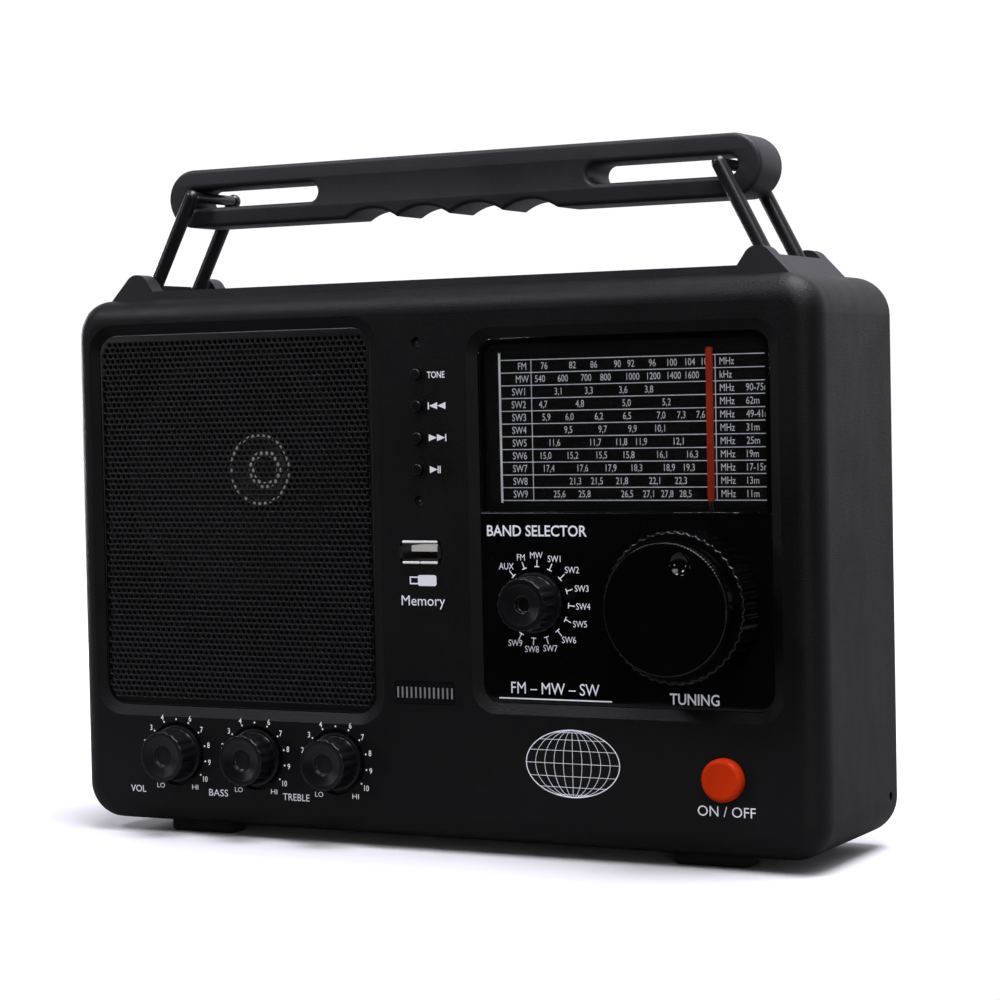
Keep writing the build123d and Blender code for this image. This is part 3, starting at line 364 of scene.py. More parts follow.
class Effects:
    """The shared node groups, each built the first time that it is asked for."""

    made: dict[Effect, bpy.types.NodeTree] = {}

    @classmethod
    def group(cls, effect: Effect) -> bpy.types.NodeTree:
        """The group of an effect: one input, Scale in cells per metre, and one output, Value from 0 to 1."""
        if effect not in cls.made:
            tree = bpy.data.node_groups.new(effect.value, "ShaderNodeTree")
            scale = tree.interface.new_socket("Scale", in_out="INPUT", socket_type="NodeSocketFloat")
            scale.default_value = 1000.0
            tree.interface.new_socket("Value", in_out="OUTPUT", socket_type="NodeSocketFloat")
            bench = NodeBench(tree)
            size = bench.node("NodeGroupInput").outputs["Scale"]
            result = getattr(cls, effect.value)(bench, size)
            bench.link(result, bench.node("NodeGroupOutput").inputs["Value"])
            cls.made[effect] = tree
        return cls.made[effect]

    @staticmethod
    def pattern(bench: NodeBench, kind: str, scale: bpy.types.NodeSocket, values: dict[str, object],
                stretch: tuple[float, float, float] = (1.0, 1.0, 1.0), **settings: object) -> bpy.types.Node:
        """A texture node on Object coordinates, stretched along the axes."""
        place = bench.node("ShaderNodeTexCoord")
        mapping = bench.node("ShaderNodeMapping", {"Scale": stretch})
        texture = bench.node(kind, values, **settings)
        bench.link(place.outputs["Object"], mapping.inputs["Vector"])
        bench.link(mapping.outputs["Vector"], texture.inputs["Vector"])
        bench.link(scale, texture.inputs["Scale"])
        return texture

    @classmethod
    def moulded_grain(cls, bench: NodeBench, scale: bpy.types.NodeSocket) -> bpy.types.NodeSocket:
        """Spark-eroded grain: rounded cells with a finer noise over them."""
        cells = cls.pattern(bench, "ShaderNodeTexVoronoi", scale, {"Smoothness": 0.6}, feature="SMOOTH_F1")
        noise = cls.pattern(bench, "ShaderNodeTexNoise", scale, {"Detail": 3.0, "Roughness": 0.6})
        half = bench.sum("MULTIPLY", noise.outputs["Fac"], 0.7)
        return bench.sum("ADD", half, bench.sum("MULTIPLY", cells.outputs["Distance"], 0.5))

    @classmethod
    def lathe_rings(cls, bench: NodeBench, scale: bpy.types.NodeSocket) -> bpy.types.NodeSocket:
        """Turned rings: a sine of the piece's own radius, uneven round the turn."""
        radius = bench.node("ShaderNodeAttribute", attribute_name="turning_radius").outputs["Fac"]
        wobble = cls.pattern(bench, "ShaderNodeTexNoise", scale, {"Detail": 2.0})
        phase = bench.sum("MULTIPLY", radius, 16.0)
        phase = bench.sum("ADD", phase, bench.sum("MULTIPLY", wobble.outputs["Fac"], 1.4))
        return bench.spread(bench.sum("SINE", phase, 0.0), -1.0, 1.0)

    @classmethod
    def handling_marks(cls, bench: NodeBench, scale: bpy.types.NodeSocket) -> bpy.types.NodeSocket:
        """Faint uneven gloss where hands and cloths have been, from two sizes of noise."""
        broad = cls.pattern(bench, "ShaderNodeTexNoise", scale, {"Detail": 4.0, "Distortion": 0.6})
        fine = cls.pattern(bench, "ShaderNodeTexNoise", scale, {"Detail": 2.0}, stretch=(9.0, 9.0, 2.5))
        both = bench.sum("MULTIPLY", broad.outputs["Fac"], 0.75)
        both = bench.sum("ADD", both, bench.sum("MULTIPLY", fine.outputs["Fac"], 0.25))
        return bench.spread(both, 0.35, 0.65)

    @classmethod
    def settled_dust(cls, bench: NodeBench, scale: bpy.types.NodeSocket) -> bpy.types.NodeSocket:
        """Dust specks: the middles of small cells, thicker on what faces up."""
        cells = cls.pattern(bench, "ShaderNodeTexVoronoi", scale, {"Randomness": 1.0})
        specks = bench.spread(cells.outputs["Distance"], 0.10, 0.04)
        facing = bench.node("ShaderNodeSeparateXYZ")
        bench.link(bench.node("ShaderNodeNewGeometry").outputs["Normal"], facing.inputs[0])
        return bench.sum("MULTIPLY", specks, bench.spread(facing.outputs["Z"], -0.4, 0.9, 0.12, 1.0))

    @classmethod
    def pressed_fibre(cls, bench: NodeBench, scale: bpy.types.NodeSocket) -> bpy.types.NodeSocket:
        """Paper pulp or laminated sheet: long thin noise crossing itself."""
        one = cls.pattern(bench, "ShaderNodeTexNoise", scale, {"Detail": 3.0}, stretch=(1.0, 1.0, 6.0))
        two = cls.pattern(bench, "ShaderNodeTexNoise", scale, {"Detail": 3.0}, stretch=(6.0, 1.0, 1.0))
        return bench.sum("MAXIMUM", one.outputs["Fac"], two.outputs["Fac"])

    @classmethod
    def wound_wire(cls, bench: NodeBench, scale: bpy.types.NodeSocket) -> bpy.types.NodeSocket:
        """Turns of wire side by side along X."""
        wave = cls.pattern(bench, "ShaderNodeTexWave", scale, {"Distortion": 0.2}, bands_direction="X")
        return wave.outputs["Fac"]


@dataclass(frozen=True)
class Finish:
    """One surface finish: its colour, gloss, relief and the marks of use on it."""

    colour: tuple[float, float, float]
    roughness: float
    metallic: float = 0.0
    specular: float = 0.5
    coat: float = 0.0
    coat_roughness: float = 0.08
    clear: float = 0.0
    glow: float = 0.0
    relief: Relief = Relief.NONE
    cells: float = 1200.0
    height: float = 0.0
    uneven: float = 0.06
    marks: float = 22.0
    tint: float = 0.25
    dust: float = 0.0

    def material(self, name: str) -> bpy.types.Material:
        """Builds the material.

        Args:
            name: the material's name.

        Returns:
            A material with a Principled BSDF fed by the shared effects.
        """
        made = bpy.data.materials.new(name)
        made.use_nodes = True
        bench = NodeBench(made.node_tree)
        made.node_tree.nodes.clear()
        base = (*self.colour, 1.0)
        shader = bench.node("ShaderNodeBsdfPrincipled", {
            "Base Color": base, "Metallic": self.metallic, "Roughness": self.roughness, "IOR": 1.49,
            "Specular IOR Level": self.specular, "Coat Weight": self.coat, "Coat Roughness": self.coat_roughness,
            "Transmission Weight": self.clear, "Emission Color": base, "Emission Strength": self.glow,
        })
        output = bench.node("ShaderNodeOutputMaterial")
        bench.link(shader.outputs["BSDF"], output.inputs["Surface"])
        marks = self.effect(bench, Effect.HANDLING, self.marks)
        low, high = max(self.roughness - self.uneven, 0.0), min(self.roughness + self.uneven, 1.0)
        bench.link(bench.spread(marks, 0.0, 1.0, low, high), shader.inputs["Roughness"])
        shade = bench.mix(marks, tuple(c * (1.0 - self.tint) for c in self.colour), self.colour)
        if self.dust:
            specks = bench.sum("MULTIPLY", self.effect(bench, Effect.DUST, 420.0), self.dust)
            shade = bench.mix(specks, shade, (0.45, 0.43, 0.41))
        bench.link(shade, shader.inputs["Base Color"])
        if self.relief is not Relief.NONE:
            bump = bench.node("ShaderNodeBump", {"Strength": 1.0, "Distance": self.height})
            bench.link(self.effect(bench, self.relief.value, self.cells), bump.inputs["Height"])
            bench.link(bump.outputs["Normal"], shader.inputs["Normal"])
        return made

    @staticmethod
    def effect(bench: NodeBench, effect: Effect, scale: float) -> bpy.types.NodeSocket:
        """Places a shared effect in the material with its own scale."""
        node = bench.node("ShaderNodeGroup", node_tree=Effects.group(effect))
        node.inputs["Scale"].default_value = scale
        return node.outputs["Value"]


BLACK = (0.0023, 0.0023, 0.0029)
COOL = (0.91, 0.90, 1.0)
FINISHES: dict[str, Finish] = {
    "cabinet_plastic": Finish(BLACK, 0.46, specular=0.34, relief=Relief.GRAIN, cells=2600, height=0.00010, dust=0.06),
    "handle_plastic": Finish((0.026, 0.026, 0.031), 0.50, relief=Relief.GRAIN, cells=3000, height=0.00006, dust=0.08),
    "rod_steel": Finish((0.012, 0.012, 0.014), 0.34, relief=Relief.GRAIN, cells=900, height=0.00004, coat=0.3),
    "grille_steel": Finish((0.007, 0.007, 0.008), 0.36, relief=Relief.GRAIN, cells=2400, height=0.00002),
    "window_plastic": Finish((1.0, 1.0, 1.0), 0.015, clear=1.0, uneven=0.012, tint=0.02, specular=0.5),
    "panel_plastic": Finish((0.0018, 0.0018, 0.0023), 0.13, specular=0.35, relief=Relief.GRAIN, cells=500,
                            height=0.00001, dust=0.05),
    "scale_print": Finish((0.0015, 0.0015, 0.0018), 0.55, specular=0.2),
    "pointer_red": Finish((0.80, 0.060, 0.008), 0.45, specular=0.3),
    "knob_plastic": Finish((0.0052, 0.0052, 0.0062), 0.33, relief=Relief.LATHE, height=0.000010, dust=0.05, cells=60),
    "red_plastic": Finish((0.88, 0.045, 0.002), 0.38, specular=0.15, relief=Relief.GRAIN, cells=1500, height=0.00001),
    "steel": Finish((0.46, 0.46, 0.47), 0.32, metallic=1.0, relief=Relief.FIBRE, cells=600, height=0.00001),
    "chrome": Finish((0.74, 0.72, 0.71), 0.16, metallic=1.0, uneven=0.05),
    # tongue_plastic glows: painted light that makes the socket's tongue look brightly lit.
    "tongue_plastic": Finish((0.86, 0.83, 0.82), 0.42, glow=0.35),
    "badge_metal": Finish((0.008, 0.008, 0.009), 0.25, metallic=0.0, uneven=0.08),
    "rubber": Finish((0.010, 0.010, 0.010), 0.75, relief=Relief.GRAIN, cells=1500, height=0.00006),
    "board": Finish((0.03, 0.14, 0.05), 0.38, relief=Relief.FIBRE, cells=700, height=0.00002),
    "component": Finish((0.03, 0.03, 0.03), 0.5, relief=Relief.GRAIN, cells=2000, height=0.00002),
    "iron": Finish((0.20, 0.19, 0.18), 0.5, metallic=0.8, relief=Relief.FIBRE, cells=900, height=0.00005),
    "ferrite": Finish((0.035, 0.033, 0.032), 0.55, relief=Relief.GRAIN, cells=1500, height=0.00003),
    "copper": Finish((0.55, 0.24, 0.10), 0.35, metallic=1.0, relief=Relief.WINDING, cells=900, height=0.0001),
    "paper": Finish((0.010, 0.010, 0.010), 0.8, relief=Relief.FIBRE, cells=900, height=0.0001),
    # cap_foil glows: painted glints of the dust cap's foil, worn by the two bright bands round the cap.
    "cap_foil": Finish((0.86, 0.85, 0.83), 0.30, metallic=0.8, glow=0.13, relief=Relief.FIBRE, cells=420,
                       height=0.00012),
    # A darker copy of the cap foil for the rest of the dust cap: painted shade between the painted glints.
    "cap_foil_painted_shade": Finish((0.05, 0.05, 0.052), 0.36, metallic=0.5, relief=Relief.FIBRE, cells=420, height=0.00008),
    # Both inks glow: painted light that keeps the printing bright; their pale colour is the print's own.
    "ink": Finish((0.86, 0.87, 0.96), 0.6, specular=0.2, uneven=0.05, tint=0.10, glow=0.22),
    "dial_ink_painted_glow": Finish((0.88, 0.89, 0.98), 0.7, specular=0.1, uneven=0.05, tint=0.12, glow=0.16),
    "badge_edge": Finish((0.74, 0.74, 0.75), 0.35, metallic=0.6, relief=Relief.FIBRE, cells=500, height=0.00001),
    # The socket's lips glow: a painted highlight on the flared metal edges.
    "lip_painted_highlight": Finish((0.86, 0.84, 0.84), 0.42, metallic=0.4, uneven=0.05, glow=0.30),
    "ring_plastic": Finish((0.0012, 0.0012, 0.0015), 0.24, specular=0.45, relief=Relief.LATHE, height=0.000008,
                           cells=60),
    # A dark copy of the chrome for the socket's shell: painted shade inside the mouth, standing in for the dark below
    # the tongue.
    "shell_painted_shade": Finish((0.05, 0.05, 0.052), 0.45, metallic=0.8),
    "gloss_cap": Finish((0.0010, 0.0010, 0.0013), 0.10, relief=Relief.LATHE, height=0.000002, uneven=0.03, cells=60),
}


# ------------------------------------------------------------------ workshop
@dataclass(frozen=True)
class Datum:
    """Where the cabinet's front face and underside lie in the frame, in metres."""

    front: float
    base: float

    @classmethod
    def from_frame(cls) -> "Datum":
        """Reads both planes off the front half of the cabinet."""
        low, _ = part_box("front_cabinet")
        return cls(low.y, low.z)

    def place(self, points: np.ndarray) -> np.ndarray:
        """Turns x, depth and height in millimetres into the frame's metres."""
        return points * MM + np.array([0.0, self.front, self.base])

    def box(self, node: str) -> tuple[np.ndarray, np.ndarray]:
        """The low and high corner of a node's box as x, depth and height in millimetres."""
        low, high = ((np.array(corner) - (0.0, self.front, self.base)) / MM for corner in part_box(node))
        return low, high


class Workshop:
    """Turns shells into pieces, with their finish and the body that they ride on."""

    def __init__(self, frame: dict) -> None:
        """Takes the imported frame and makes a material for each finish."""
        self.frame = frame
        self.datum = Datum.from_frame()
        self.materials = {name: finish.material(name) for name, finish in FINISHES.items()}

    def dress_nodes(self) -> None:
        """Gives each carried-over node the finish of its slot."""
        for part in self.frame["record"]["subparts"]:
            node = self.frame["nodes"][part["node"]]
            node.data.materials.clear()
            node.data.materials.append(self.materials[part["material_slot"]])
            log.info("node %s wears %s", part["node"], part["material_slot"])

    def piece(self, name: str, shell: Shell, body: str, slot: str, replaces: tuple[str, ...] = (),
              finish: str | None = None, sharp: float = 38.0) -> bpy.types.Object:
        """Makes a piece.

        Args:
            name: the piece's name.
            shell: its surface, in the cabinet's measures.
            body: the body that it moves with.
            slot: the record's material slot.
            replaces: nodes that it stands for.
            finish: the finish, where it isn't the slot's own.
            sharp: edges that turn by more than this many degrees stay sharp.

        Returns:
            The finished object, at the origin.
        """
        mesh = bpy.data.meshes.new(name)
        points = self.datum.place(shell.points).astype(np.float32)
        mesh.vertices.add(len(points))
        mesh.vertices.foreach_set("co", points.ravel())
        loops = np.concatenate([shell.quads.ravel(), shell.tris.ravel()]).astype(np.int32)
        starts = np.concatenate([np.arange(len(shell.quads)) * 4, shell.quads.size + np.arange(len(shell.tris)) * 3])
        mesh.loops.add(len(loops))
        mesh.loops.foreach_set("vertex_index", loops)
        mesh.polygons.add(len(starts))
        mesh.polygons.foreach_set("loop_start", starts.astype(np.int32))
        mesh.update(calc_edges=True)
        mesh.validate()
        mesh.shade_smooth()
        mesh.set_sharp_from_angle(angle=math.radians(sharp))
        if shell.radius is not None:
            mesh.attributes.new("turning_radius", "FLOAT", "POINT").data.foreach_set("value", shell.radius)
        made = bpy.data.objects.new(name, mesh)
        bpy.context.scene.collection.objects.link(made)
        mesh.materials.append(self.materials[finish or slot])
        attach(made, body)
        if replaces:
            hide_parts(*replaces)
        log.info("piece %s: %d points, rides on %s", name, len(points), body)
        return made


class Align(Enum):
    """Which part of a word stands at its x."""

    LEFT = 0.0
    MIDDLE = 0.5


@dataclass
class Printing:
    """Ink on one flat face: words, lines and dots gathered in one thin solid, which sinks a little into the face."""

    depth: float
    thickness: float = 0.02
    sink: float = 0.004
    squeeze: float = 0.86
    shells: list[Shell] = field(default_factory=list)
    glyphs: dict[tuple[str, float], Shell] = field(default_factory=dict)

    def word_shell(self, text: str, weight: float) -> Shell:
        """The word as a solid one unit of type high, from the built-in type, made a mesh and read back."""
        if (text, weight) not in self.glyphs:
            curve = bpy.data.curves.new("word", "FONT")
            curve.body, curve.extrude, curve.offset, curve.resolution_u = text, 0.5, weight, 3
            holder = bpy.data.objects.new("word", curve)
            bpy.context.scene.collection.objects.link(holder)
            bpy.context.view_layer.update()
            mesh = bpy.data.meshes.new_from_object(holder.evaluated_get(bpy.context.evaluated_depsgraph_get()))
            mesh.calc_loop_triangles()
            points, tris = np.zeros(len(mesh.vertices) * 3), np.zeros(len(mesh.loop_triangles) * 3, np.int32)
            mesh.vertices.foreach_get("co", points)
            mesh.loop_triangles.foreach_get("vertices", tris)
            self.glyphs[text, weight] = Shell(points.reshape(-1, 3), tris=tris.reshape(-1, 3))
            bpy.data.objects.remove(holder)
            bpy.data.meshes.remove(mesh)
            bpy.data.curves.remove(curve)
        return self.glyphs[text, weight]

    def word(self, text: str, x: float, height: float, cap: float, width: float | None = None, weight: float = 0.0,
             align: Align = Align.MIDDLE) -> None:
        """Adds a word.

        Args:
            text: the word.
            x: where its left end or middle stands.
            height: the middle of its capitals.
            cap: height of its capitals.
            width: its full width, or None for the type's own, squeezed.
            weight: how much bolder than the type.
            align: which part of it stands at x.
        """
        shell = self.word_shell(text, weight)
        capital = self.word_shell("H", 0.0).points
        tall = np.ptp(capital[:, 1])
        left, full = shell.points[:, 0].min(), np.ptp(shell.points[:, 0])
        scale = width / full if width else cap / tall * self.squeeze
        across = x - align.value * full * scale + (shell.points[:, 0] - left) * scale
        up = height + (shell.points[:, 1] - capital[:, 1].min() - tall / 2) * cap / tall
        depth = self.depth + self.sink - self.thickness * (shell.points[:, 2] + 0.5)
        self.shells.append(Shell(np.stack([across, depth, up], axis=1), tris=shell.tris))

    def area(self, outline: np.ndarray) -> None:
        """Adds a convex inked area."""
        rear = self.depth + self.sink
        self.shells.append(prism(outline, rear - self.thickness, rear))

    def line(self, start: tuple[float, float], end: tuple[float, float], width: float) -> None:
        """Adds a straight line with square ends."""
        a, b = np.array(start), np.array(end)
        side = (b - a) / np.linalg.norm(b - a)
        side = np.array([-side[1], side[0]]) * width / 2
        self.area(np.array([a - side, b - side, b + side, a + side]))

    def dot(self, x: float, height: float, radius: float) -> None:
        """Adds a round dot."""
        self.area(arc((x, height), radius, 0, 345, 24))

    def path(self, points: np.ndarray, width: float, closed: bool = False) -> None:
        """Adds a curved line: the points moved to both sides of it make the solid's two edges."""
        ahead = np.gradient(points, axis=0)
        if closed:
            ahead = np.roll(points, -1, axis=0) - np.roll(points, 1, axis=0)
        ahead /= np.linalg.norm(ahead, axis=1, keepdims=True)
        side = np.stack([-ahead[:, 1], ahead[:, 0]], axis=1) * width / 2
        rear = self.depth + self.sink
        front = rear - self.thickness
        corners = [(points + side, front), (points - side, front), (points - side, rear), (points + side, rear)]
        rings = np.stack([np.insert(p, 1, d, axis=1) for p, d in corners], axis=1)
        quads = strip_quads(len(points), 4)
        if closed:
            last = (len(points) - 1) * 4 + np.arange(4)
            turn = np.roll(np.arange(4), -1)
            quads = np.vstack([quads, np.stack([last, np.roll(last, -1), turn, np.arange(4)], axis=1)])
        else:
            ends = np.array([[3, 2, 1, 0], (len(points) - 1) * 4 + np.arange(4)])
            quads = np.vstack([quads, ends])
        self.shells.append(Shell(rings.reshape(-1, 3), quads).outward())

    def shell(self) -> Shell:
        """All the ink as one shell."""
        return joined(self.shells)


# ------------------------------------------------------------------ sub-assemblies
@dataclass
class SpeakerGrille:
    """Perforated steel plate with a turned-back rim, sizes in millimetres."""

    pitch: float = 2.08
    row: float = 1.80
    hole: float = 0.76
    burr: float = 0.11
    sheet: float = 0.62
    margin: float = 1.15
    edge: float = 0.55
    corner: float = 6.4
    sides: int = 8

    def build(self, shop: Workshop) -> None:
        """Makes the plate."""
        low, high = shop.datum.box("speaker_grille")
        (x, _, height), (width, thick, tall) = (low + high) / 2, high - low
        shell = self.plate(x, height, width, tall, low[1], thick)
        shop.piece("grille_plate", shell, "root", "grille_steel", ("speaker_grille",), sharp=60)

    def plate(self, x: float, height: float, width: float, tall: float, front: float, thick: float) -> Shell:
        """The perforated plate.

        Hole centres stand in rows half a pitch apart from each other. Round each one, eight points on the hole's
        edge face eight points on the border of its brick, so that bricks meet without gaps. The plain border
        between the outermost bricks and the outline is cut in triangles.

        Args:
            x: middle of the plate.
            height: middle of the plate.
            width: its width.
            tall: its height.
            front: depth of its face.
            thick: depth of its turned-back rim.

        Returns:
            The plate, open at the back inside its rim.
        """
        rows = int(tall / self.row / 2)
        columns = int(width / self.pitch / 2)
        j, i = np.meshgrid(np.arange(-rows, rows + 1), np.arange(-columns - 1, columns + 1), indexing="ij")
        quarter = 4 * i + 2 * (j % 2)
        u, v = quarter * self.pitch / 4, j * self.row
        reach = self.margin + self.hole
        outside_u = np.abs(u) - (width / 2 - self.corner)
        outside_v = np.abs(v) - (tall / 2 - self.corner)
        corner = np.hypot(np.clip(outside_u, 0, None), np.clip(outside_v, 0, None))
        keep = (corner < self.corner - reach) & (np.maximum(outside_u, outside_v) < self.corner - reach)
        quarter, j = quarter[keep], j[keep]
        border = np.array([(0, 1), (2, 1), (2, 0), (2, -1), (0, -1), (-2, -1), (-2, 0), (-2, 1)])
        turn = np.arange(self.sides) * TURN / self.sides
        lattice = np.stack([quarter[:, None] + border[:, 0], 2 * j[:, None] + border[:, 1]], axis=-1)
        keys = lattice[..., 0] * LATTICE_STRIDE + lattice[..., 1]
        unique, index = np.unique(keys.ravel(), return_inverse=True)
        index = index.reshape(keys.shape)
        spots = np.zeros((len(unique), 3))
        spots[index.ravel()] = np.stack([
            x + lattice[..., 0].ravel() * self.pitch / 4, np.full(keys.size, front),
            height + lattice[..., 1].ravel() * self.row / 2], axis=1)
        centres = np.stack([x + quarter * self.pitch / 4, height + j * self.row], axis=1)
        rings, count = [], len(quarter)
        for radius, depth in ((self.hole + self.burr, 0.0), (self.hole, self.burr), (self.hole, self.sheet)):
            level = np.full(self.sides, front + depth)
            circle = np.stack([np.sin(turn) * radius, level, np.cos(turn) * radius], axis=1)
            rings.append(circle[None] + np.insert(centres, 1, 0.0, axis=1)[:, None])
        points = np.vstack([spots] + [r.reshape(-1, 3) for r in rings])
        ids = [index] + [len(spots) + k * count * self.sides + np.arange(count * self.sides).reshape(count, -1)
                         for k in range(3)]
        quads = [np.stack([a, b, np.roll(b, -1, axis=1), np.roll(a, -1, axis=1)], axis=-1).reshape(-1, 4)
                 for a, b in zip(ids, ids[1:])]
        loop = self.rim_of(index)
        outline = rounded_outline(x, height, width, tall, self.corner)
        turn = np.linspace(0, math.pi / 2, 4)
        rim = [np.insert(inset(outline, self.edge * (1 - math.sin(t))), 1, front + self.edge * (1 - math.cos(t)),
                         axis=1) for t in turn] + [np.insert(outline, 1, front + thick, axis=1)]
        start = len(points)
        points = np.vstack([points] + rim)
        quads.append(strip_quads(len(rim), len(outline), start)[:, ::-1])
        inner = [Vector((p[0], p[2], 0)) for p in spots[loop]]
        outer = [Vector((p[0], p[2], 0)) for p in rim[0]]
        names = np.concatenate([start + np.arange(len(outline)), loop])
        fill = faced(points[names], np.array(tessellate_polygon([outer, inner])))
        return Shell(points, np.vstack(quads), names[fill])

    @staticmethod
    def rim_of(index: np.ndarray) -> np.ndarray:
        """The loop of points round all the bricks: the border edges that no other brick shares, end to end."""
        start, end = index.ravel(), np.roll(index, -1, axis=1).ravel()
        edges = set(zip(start.tolist(), end.tolist()))
        after = {a: b for a, b in edges if (b, a) not in edges}
        loop = [next(iter(sorted(after)))]
        while after[loop[-1]] != loop[0]:
            loop.append(after[loop[-1]])
        return np.array(loop)


@dataclass
class Loudspeaker:
    """Cone, surround and dust cap behind the grille, sizes in millimetres."""

    x: float = -69.375
    height: float = 115.5
    cone: float = 42.0
    cap: float = 12.4
    crest: float = 11.2
    bowl: float = 5.3
    seat: float = 20.2
    rise: float = 3.4

    def build(self, shop: Workshop) -> None:
        """Makes the corrugated cone, a turned surface inside the frame's own cone."""
        rim = np.linspace(0, math.pi, 12)
        roll = [(self.cone - 3.0 + 2.6 * math.cos(t), 5.4 - 0.8 * math.sin(t)) for t in rim]
        slope = np.linspace(36.0, 12.5, 40)
        cone = [(r, 5.9 + (36.0 - r) * 0.62 + 0.16 * math.cos(r * 3.1)) for r in slope]
        back = [(r, d + 0.5) for r, d in cone[::-1]]
        under = [(r, d + 0.5) for r, d in roll[::-1]]
        profile = [(0.0, cone[-1][1])] + cone[::-1] + roll[::-1] + roll[:1]
        profile = profile + [(r, d) for r, d in under[::-1]] + back[::-1] + [(0.0, back[0][1])]
        shop.piece("cone_paper", turned(profile, self.x, self.height, 128), "root", "paper", ("speaker_cone",))
        # The cap itself wears a dark copy of its foil: painted shade beside the glowing bands.
        shop.piece("dust_cap", self.dust_cap(), "root", "cap_foil", ("speaker_dust_cap",), finish="cap_foil_painted_shade")
        # Both bands wear the glowing cap foil: painted glints on the cap.
        for name, radius, width, depth in (("cap_rim_painted_glint", self.crest, 0.9, self.seat - self.rise),
                                           ("cap_ring_painted_glint", self.bowl, 2.0, self.seat - 0.2)):
            shop.piece(name, self.band(radius, width, depth), "root", "cap_foil")

    def dust_cap(self) -> Shell:
        """Foil cap: a crest near its rim, a raised cosine slope down to the inner ring, and an arc pressed back."""
        rim = [(self.cap, self.seat), (self.cap - 0.3, self.seat - 1.8),
               (self.crest + 0.3, self.seat - self.rise + 0.1)]
        slope = [(self.crest + (self.bowl - self.crest) * t,
                  self.seat - self.rise * (0.5 + 0.5 * math.cos(t * math.pi))) for t in np.linspace(0.0, 1.0, 20)]
        bowl = [(r, self.seat + 2.1 * math.sqrt(1.0 - (r / self.bowl) ** 2)) for r in np.linspace(self.bowl, 0.3, 16)]
        outline = rim + slope + bowl[1:]
        rear = [(r, d + 0.3) for r, d in outline[::-1]]
        profile = [(0.0, outline[-1][1])] + outline[::-1] + rear[::-1] + [(0.0, rear[0][1])]
        return turned(profile, self.x, self.height, 96)

    def band(self, radius: float, width: float, depth: float) -> Shell:
        """Raised band round the cap, half of an ellipse in section, which wears the glowing foil as a painted glint."""
        turn = np.linspace(0.0, math.pi, 9)
        section = [(radius + width / 2 * math.cos(t), depth - 0.35 * math.sin(t)) for t in turn]
        loops = [arc((self.x, self.height), r, 0, 360, 97)[:-1] for r, _ in section]
        points = np.vstack([np.stack([loop[:, 0], np.full(len(loop), d), loop[:, 1]], axis=1)
                            for loop, (_, d) in zip(loops, section)])
        count, rows = len(loops[0]), len(section)
        i, j = np.meshgrid(np.arange(rows), np.arange(count), indexing="ij")
        a, b = (i * count + j).ravel(), (i * count + (j + 1) % count).ravel()
        c, d = ((i + 1) % rows * count + j).ravel(), ((i + 1) % rows * count + (j + 1) % count).ravel()
        return Shell(points, np.stack([a, b, d, c], axis=1)).outward()


@dataclass
class Handle:
    """The straight grip with its slots and finger hollows, sizes in millimetres."""

    length: float = 213.4
    tall: float = 19.2
    slot_start: float = 48.6
    slot_end: float = 99.0
    slot_tall: float = 6.4
    finger_pitch: float = 19.1
    finger_depth: float = 3.0
    fingers: int = 4
    edge: float = 1.3

    def build(self, shop: Workshop) -> None:
        """Makes the grip."""
        low, high = shop.datum.box("handle_grip")
        middle = (low[2] + high[2]) / 2
        loops = [self.outline(middle), self.slot(-1, middle), self.slot(1, middle)]
        shop.piece("grip", plate(loops, low[1], high[1], self.edge), "handle_grip", "handle_plastic",
                   ("handle_grip",))

    def outline(self, middle: float) -> np.ndarray:
        """Stadium with its underside scooped: a circle's arc over each finger's width, and the cusps eased."""
        radius, flat = self.tall / 2, self.length / 2 - self.tall / 2
        ball = (self.finger_pitch**2 / 4 + self.finger_depth**2) / (2 * self.finger_depth)
        x = np.linspace(-flat, flat, 420)
        reach = self.fingers * self.finger_pitch / 2
        off = (x + reach) % self.finger_pitch - self.finger_pitch / 2
        scoop = np.sqrt(ball**2 - off**2) - (ball - self.finger_depth)
        scoop = np.where(np.abs(x) < reach, scoop, 0.0)
        scoop = np.sqrt(scoop**2 + 0.01) - 0.1
        under = np.stack([x, middle - radius + scoop], axis=1)
        right = arc((flat, middle), radius, -90, 90, 40)[1:]
        left = arc((-flat, middle), radius, 90, 270, 40)[:-1]
        return np.vstack([under, right, left])

    def slot(self, side: int, middle: float) -> np.ndarray:
        """Clockwise outline of one slot."""
        x, width = side * (self.slot_start + self.slot_end) / 2, self.slot_end - self.slot_start
        return rounded_outline(x, middle, width, self.slot_tall, self.slot_tall / 2 - 0.01, 16)[::-1]


@dataclass
class RotaryKnob:
    """A fluted knob with a skirt and a dished, turned face, sizes in millimetres."""

    name: str
    node: str
    body: str
    x: float
    height: float
    size: float
    proud: float
    seat: float
    hub: float = 3.4
    hub_depth: float = 1.8
    flutes: int = 18

    def build(self, shop: Workshop) -> None:
        """Makes the knob: skirt, fluted side, rim, dish and hub recess on one profile."""
        r, front = self.size / 2, -self.proud
        skirt = r + 1.0
        lip = self.seat - 2.2
        rim = quarter_round(r, front, 0.6)
        flat = r - 1.7
        dish = [(q, front + 0.9 * ((flat - q) / (flat - self.hub)) ** 0.8) for q in np.linspace(flat, self.hub, 14)]
        profile = [(0.0, self.seat), (skirt - 0.2, self.seat), (skirt, self.seat - 0.2), (skirt, lip + 0.5),
                   (skirt - 0.15, lip + 0.15), (skirt - 0.5, lip), (r + 0.05, lip), (r, lip - 0.1)]
        profile += [(r, d) for d in np.linspace(lip - 0.4, front + 0.75, 12)] + rim + dish
        floor = front + self.hub_depth
        profile += [(self.hub - 0.12, front + 1.0), (self.hub - 0.25, floor - 0.2), (self.hub - 0.5, floor),
                    (1.0, floor), (0.0, floor)]
        cut = Flutes(self.flutes, 0.42, front - 1.0, lip - 0.05)
        shell = turned(profile, self.x, self.height, self.flutes * 12, cut)
        shop.piece(self.name, shell, self.body, "knob_plastic", (self.node,))


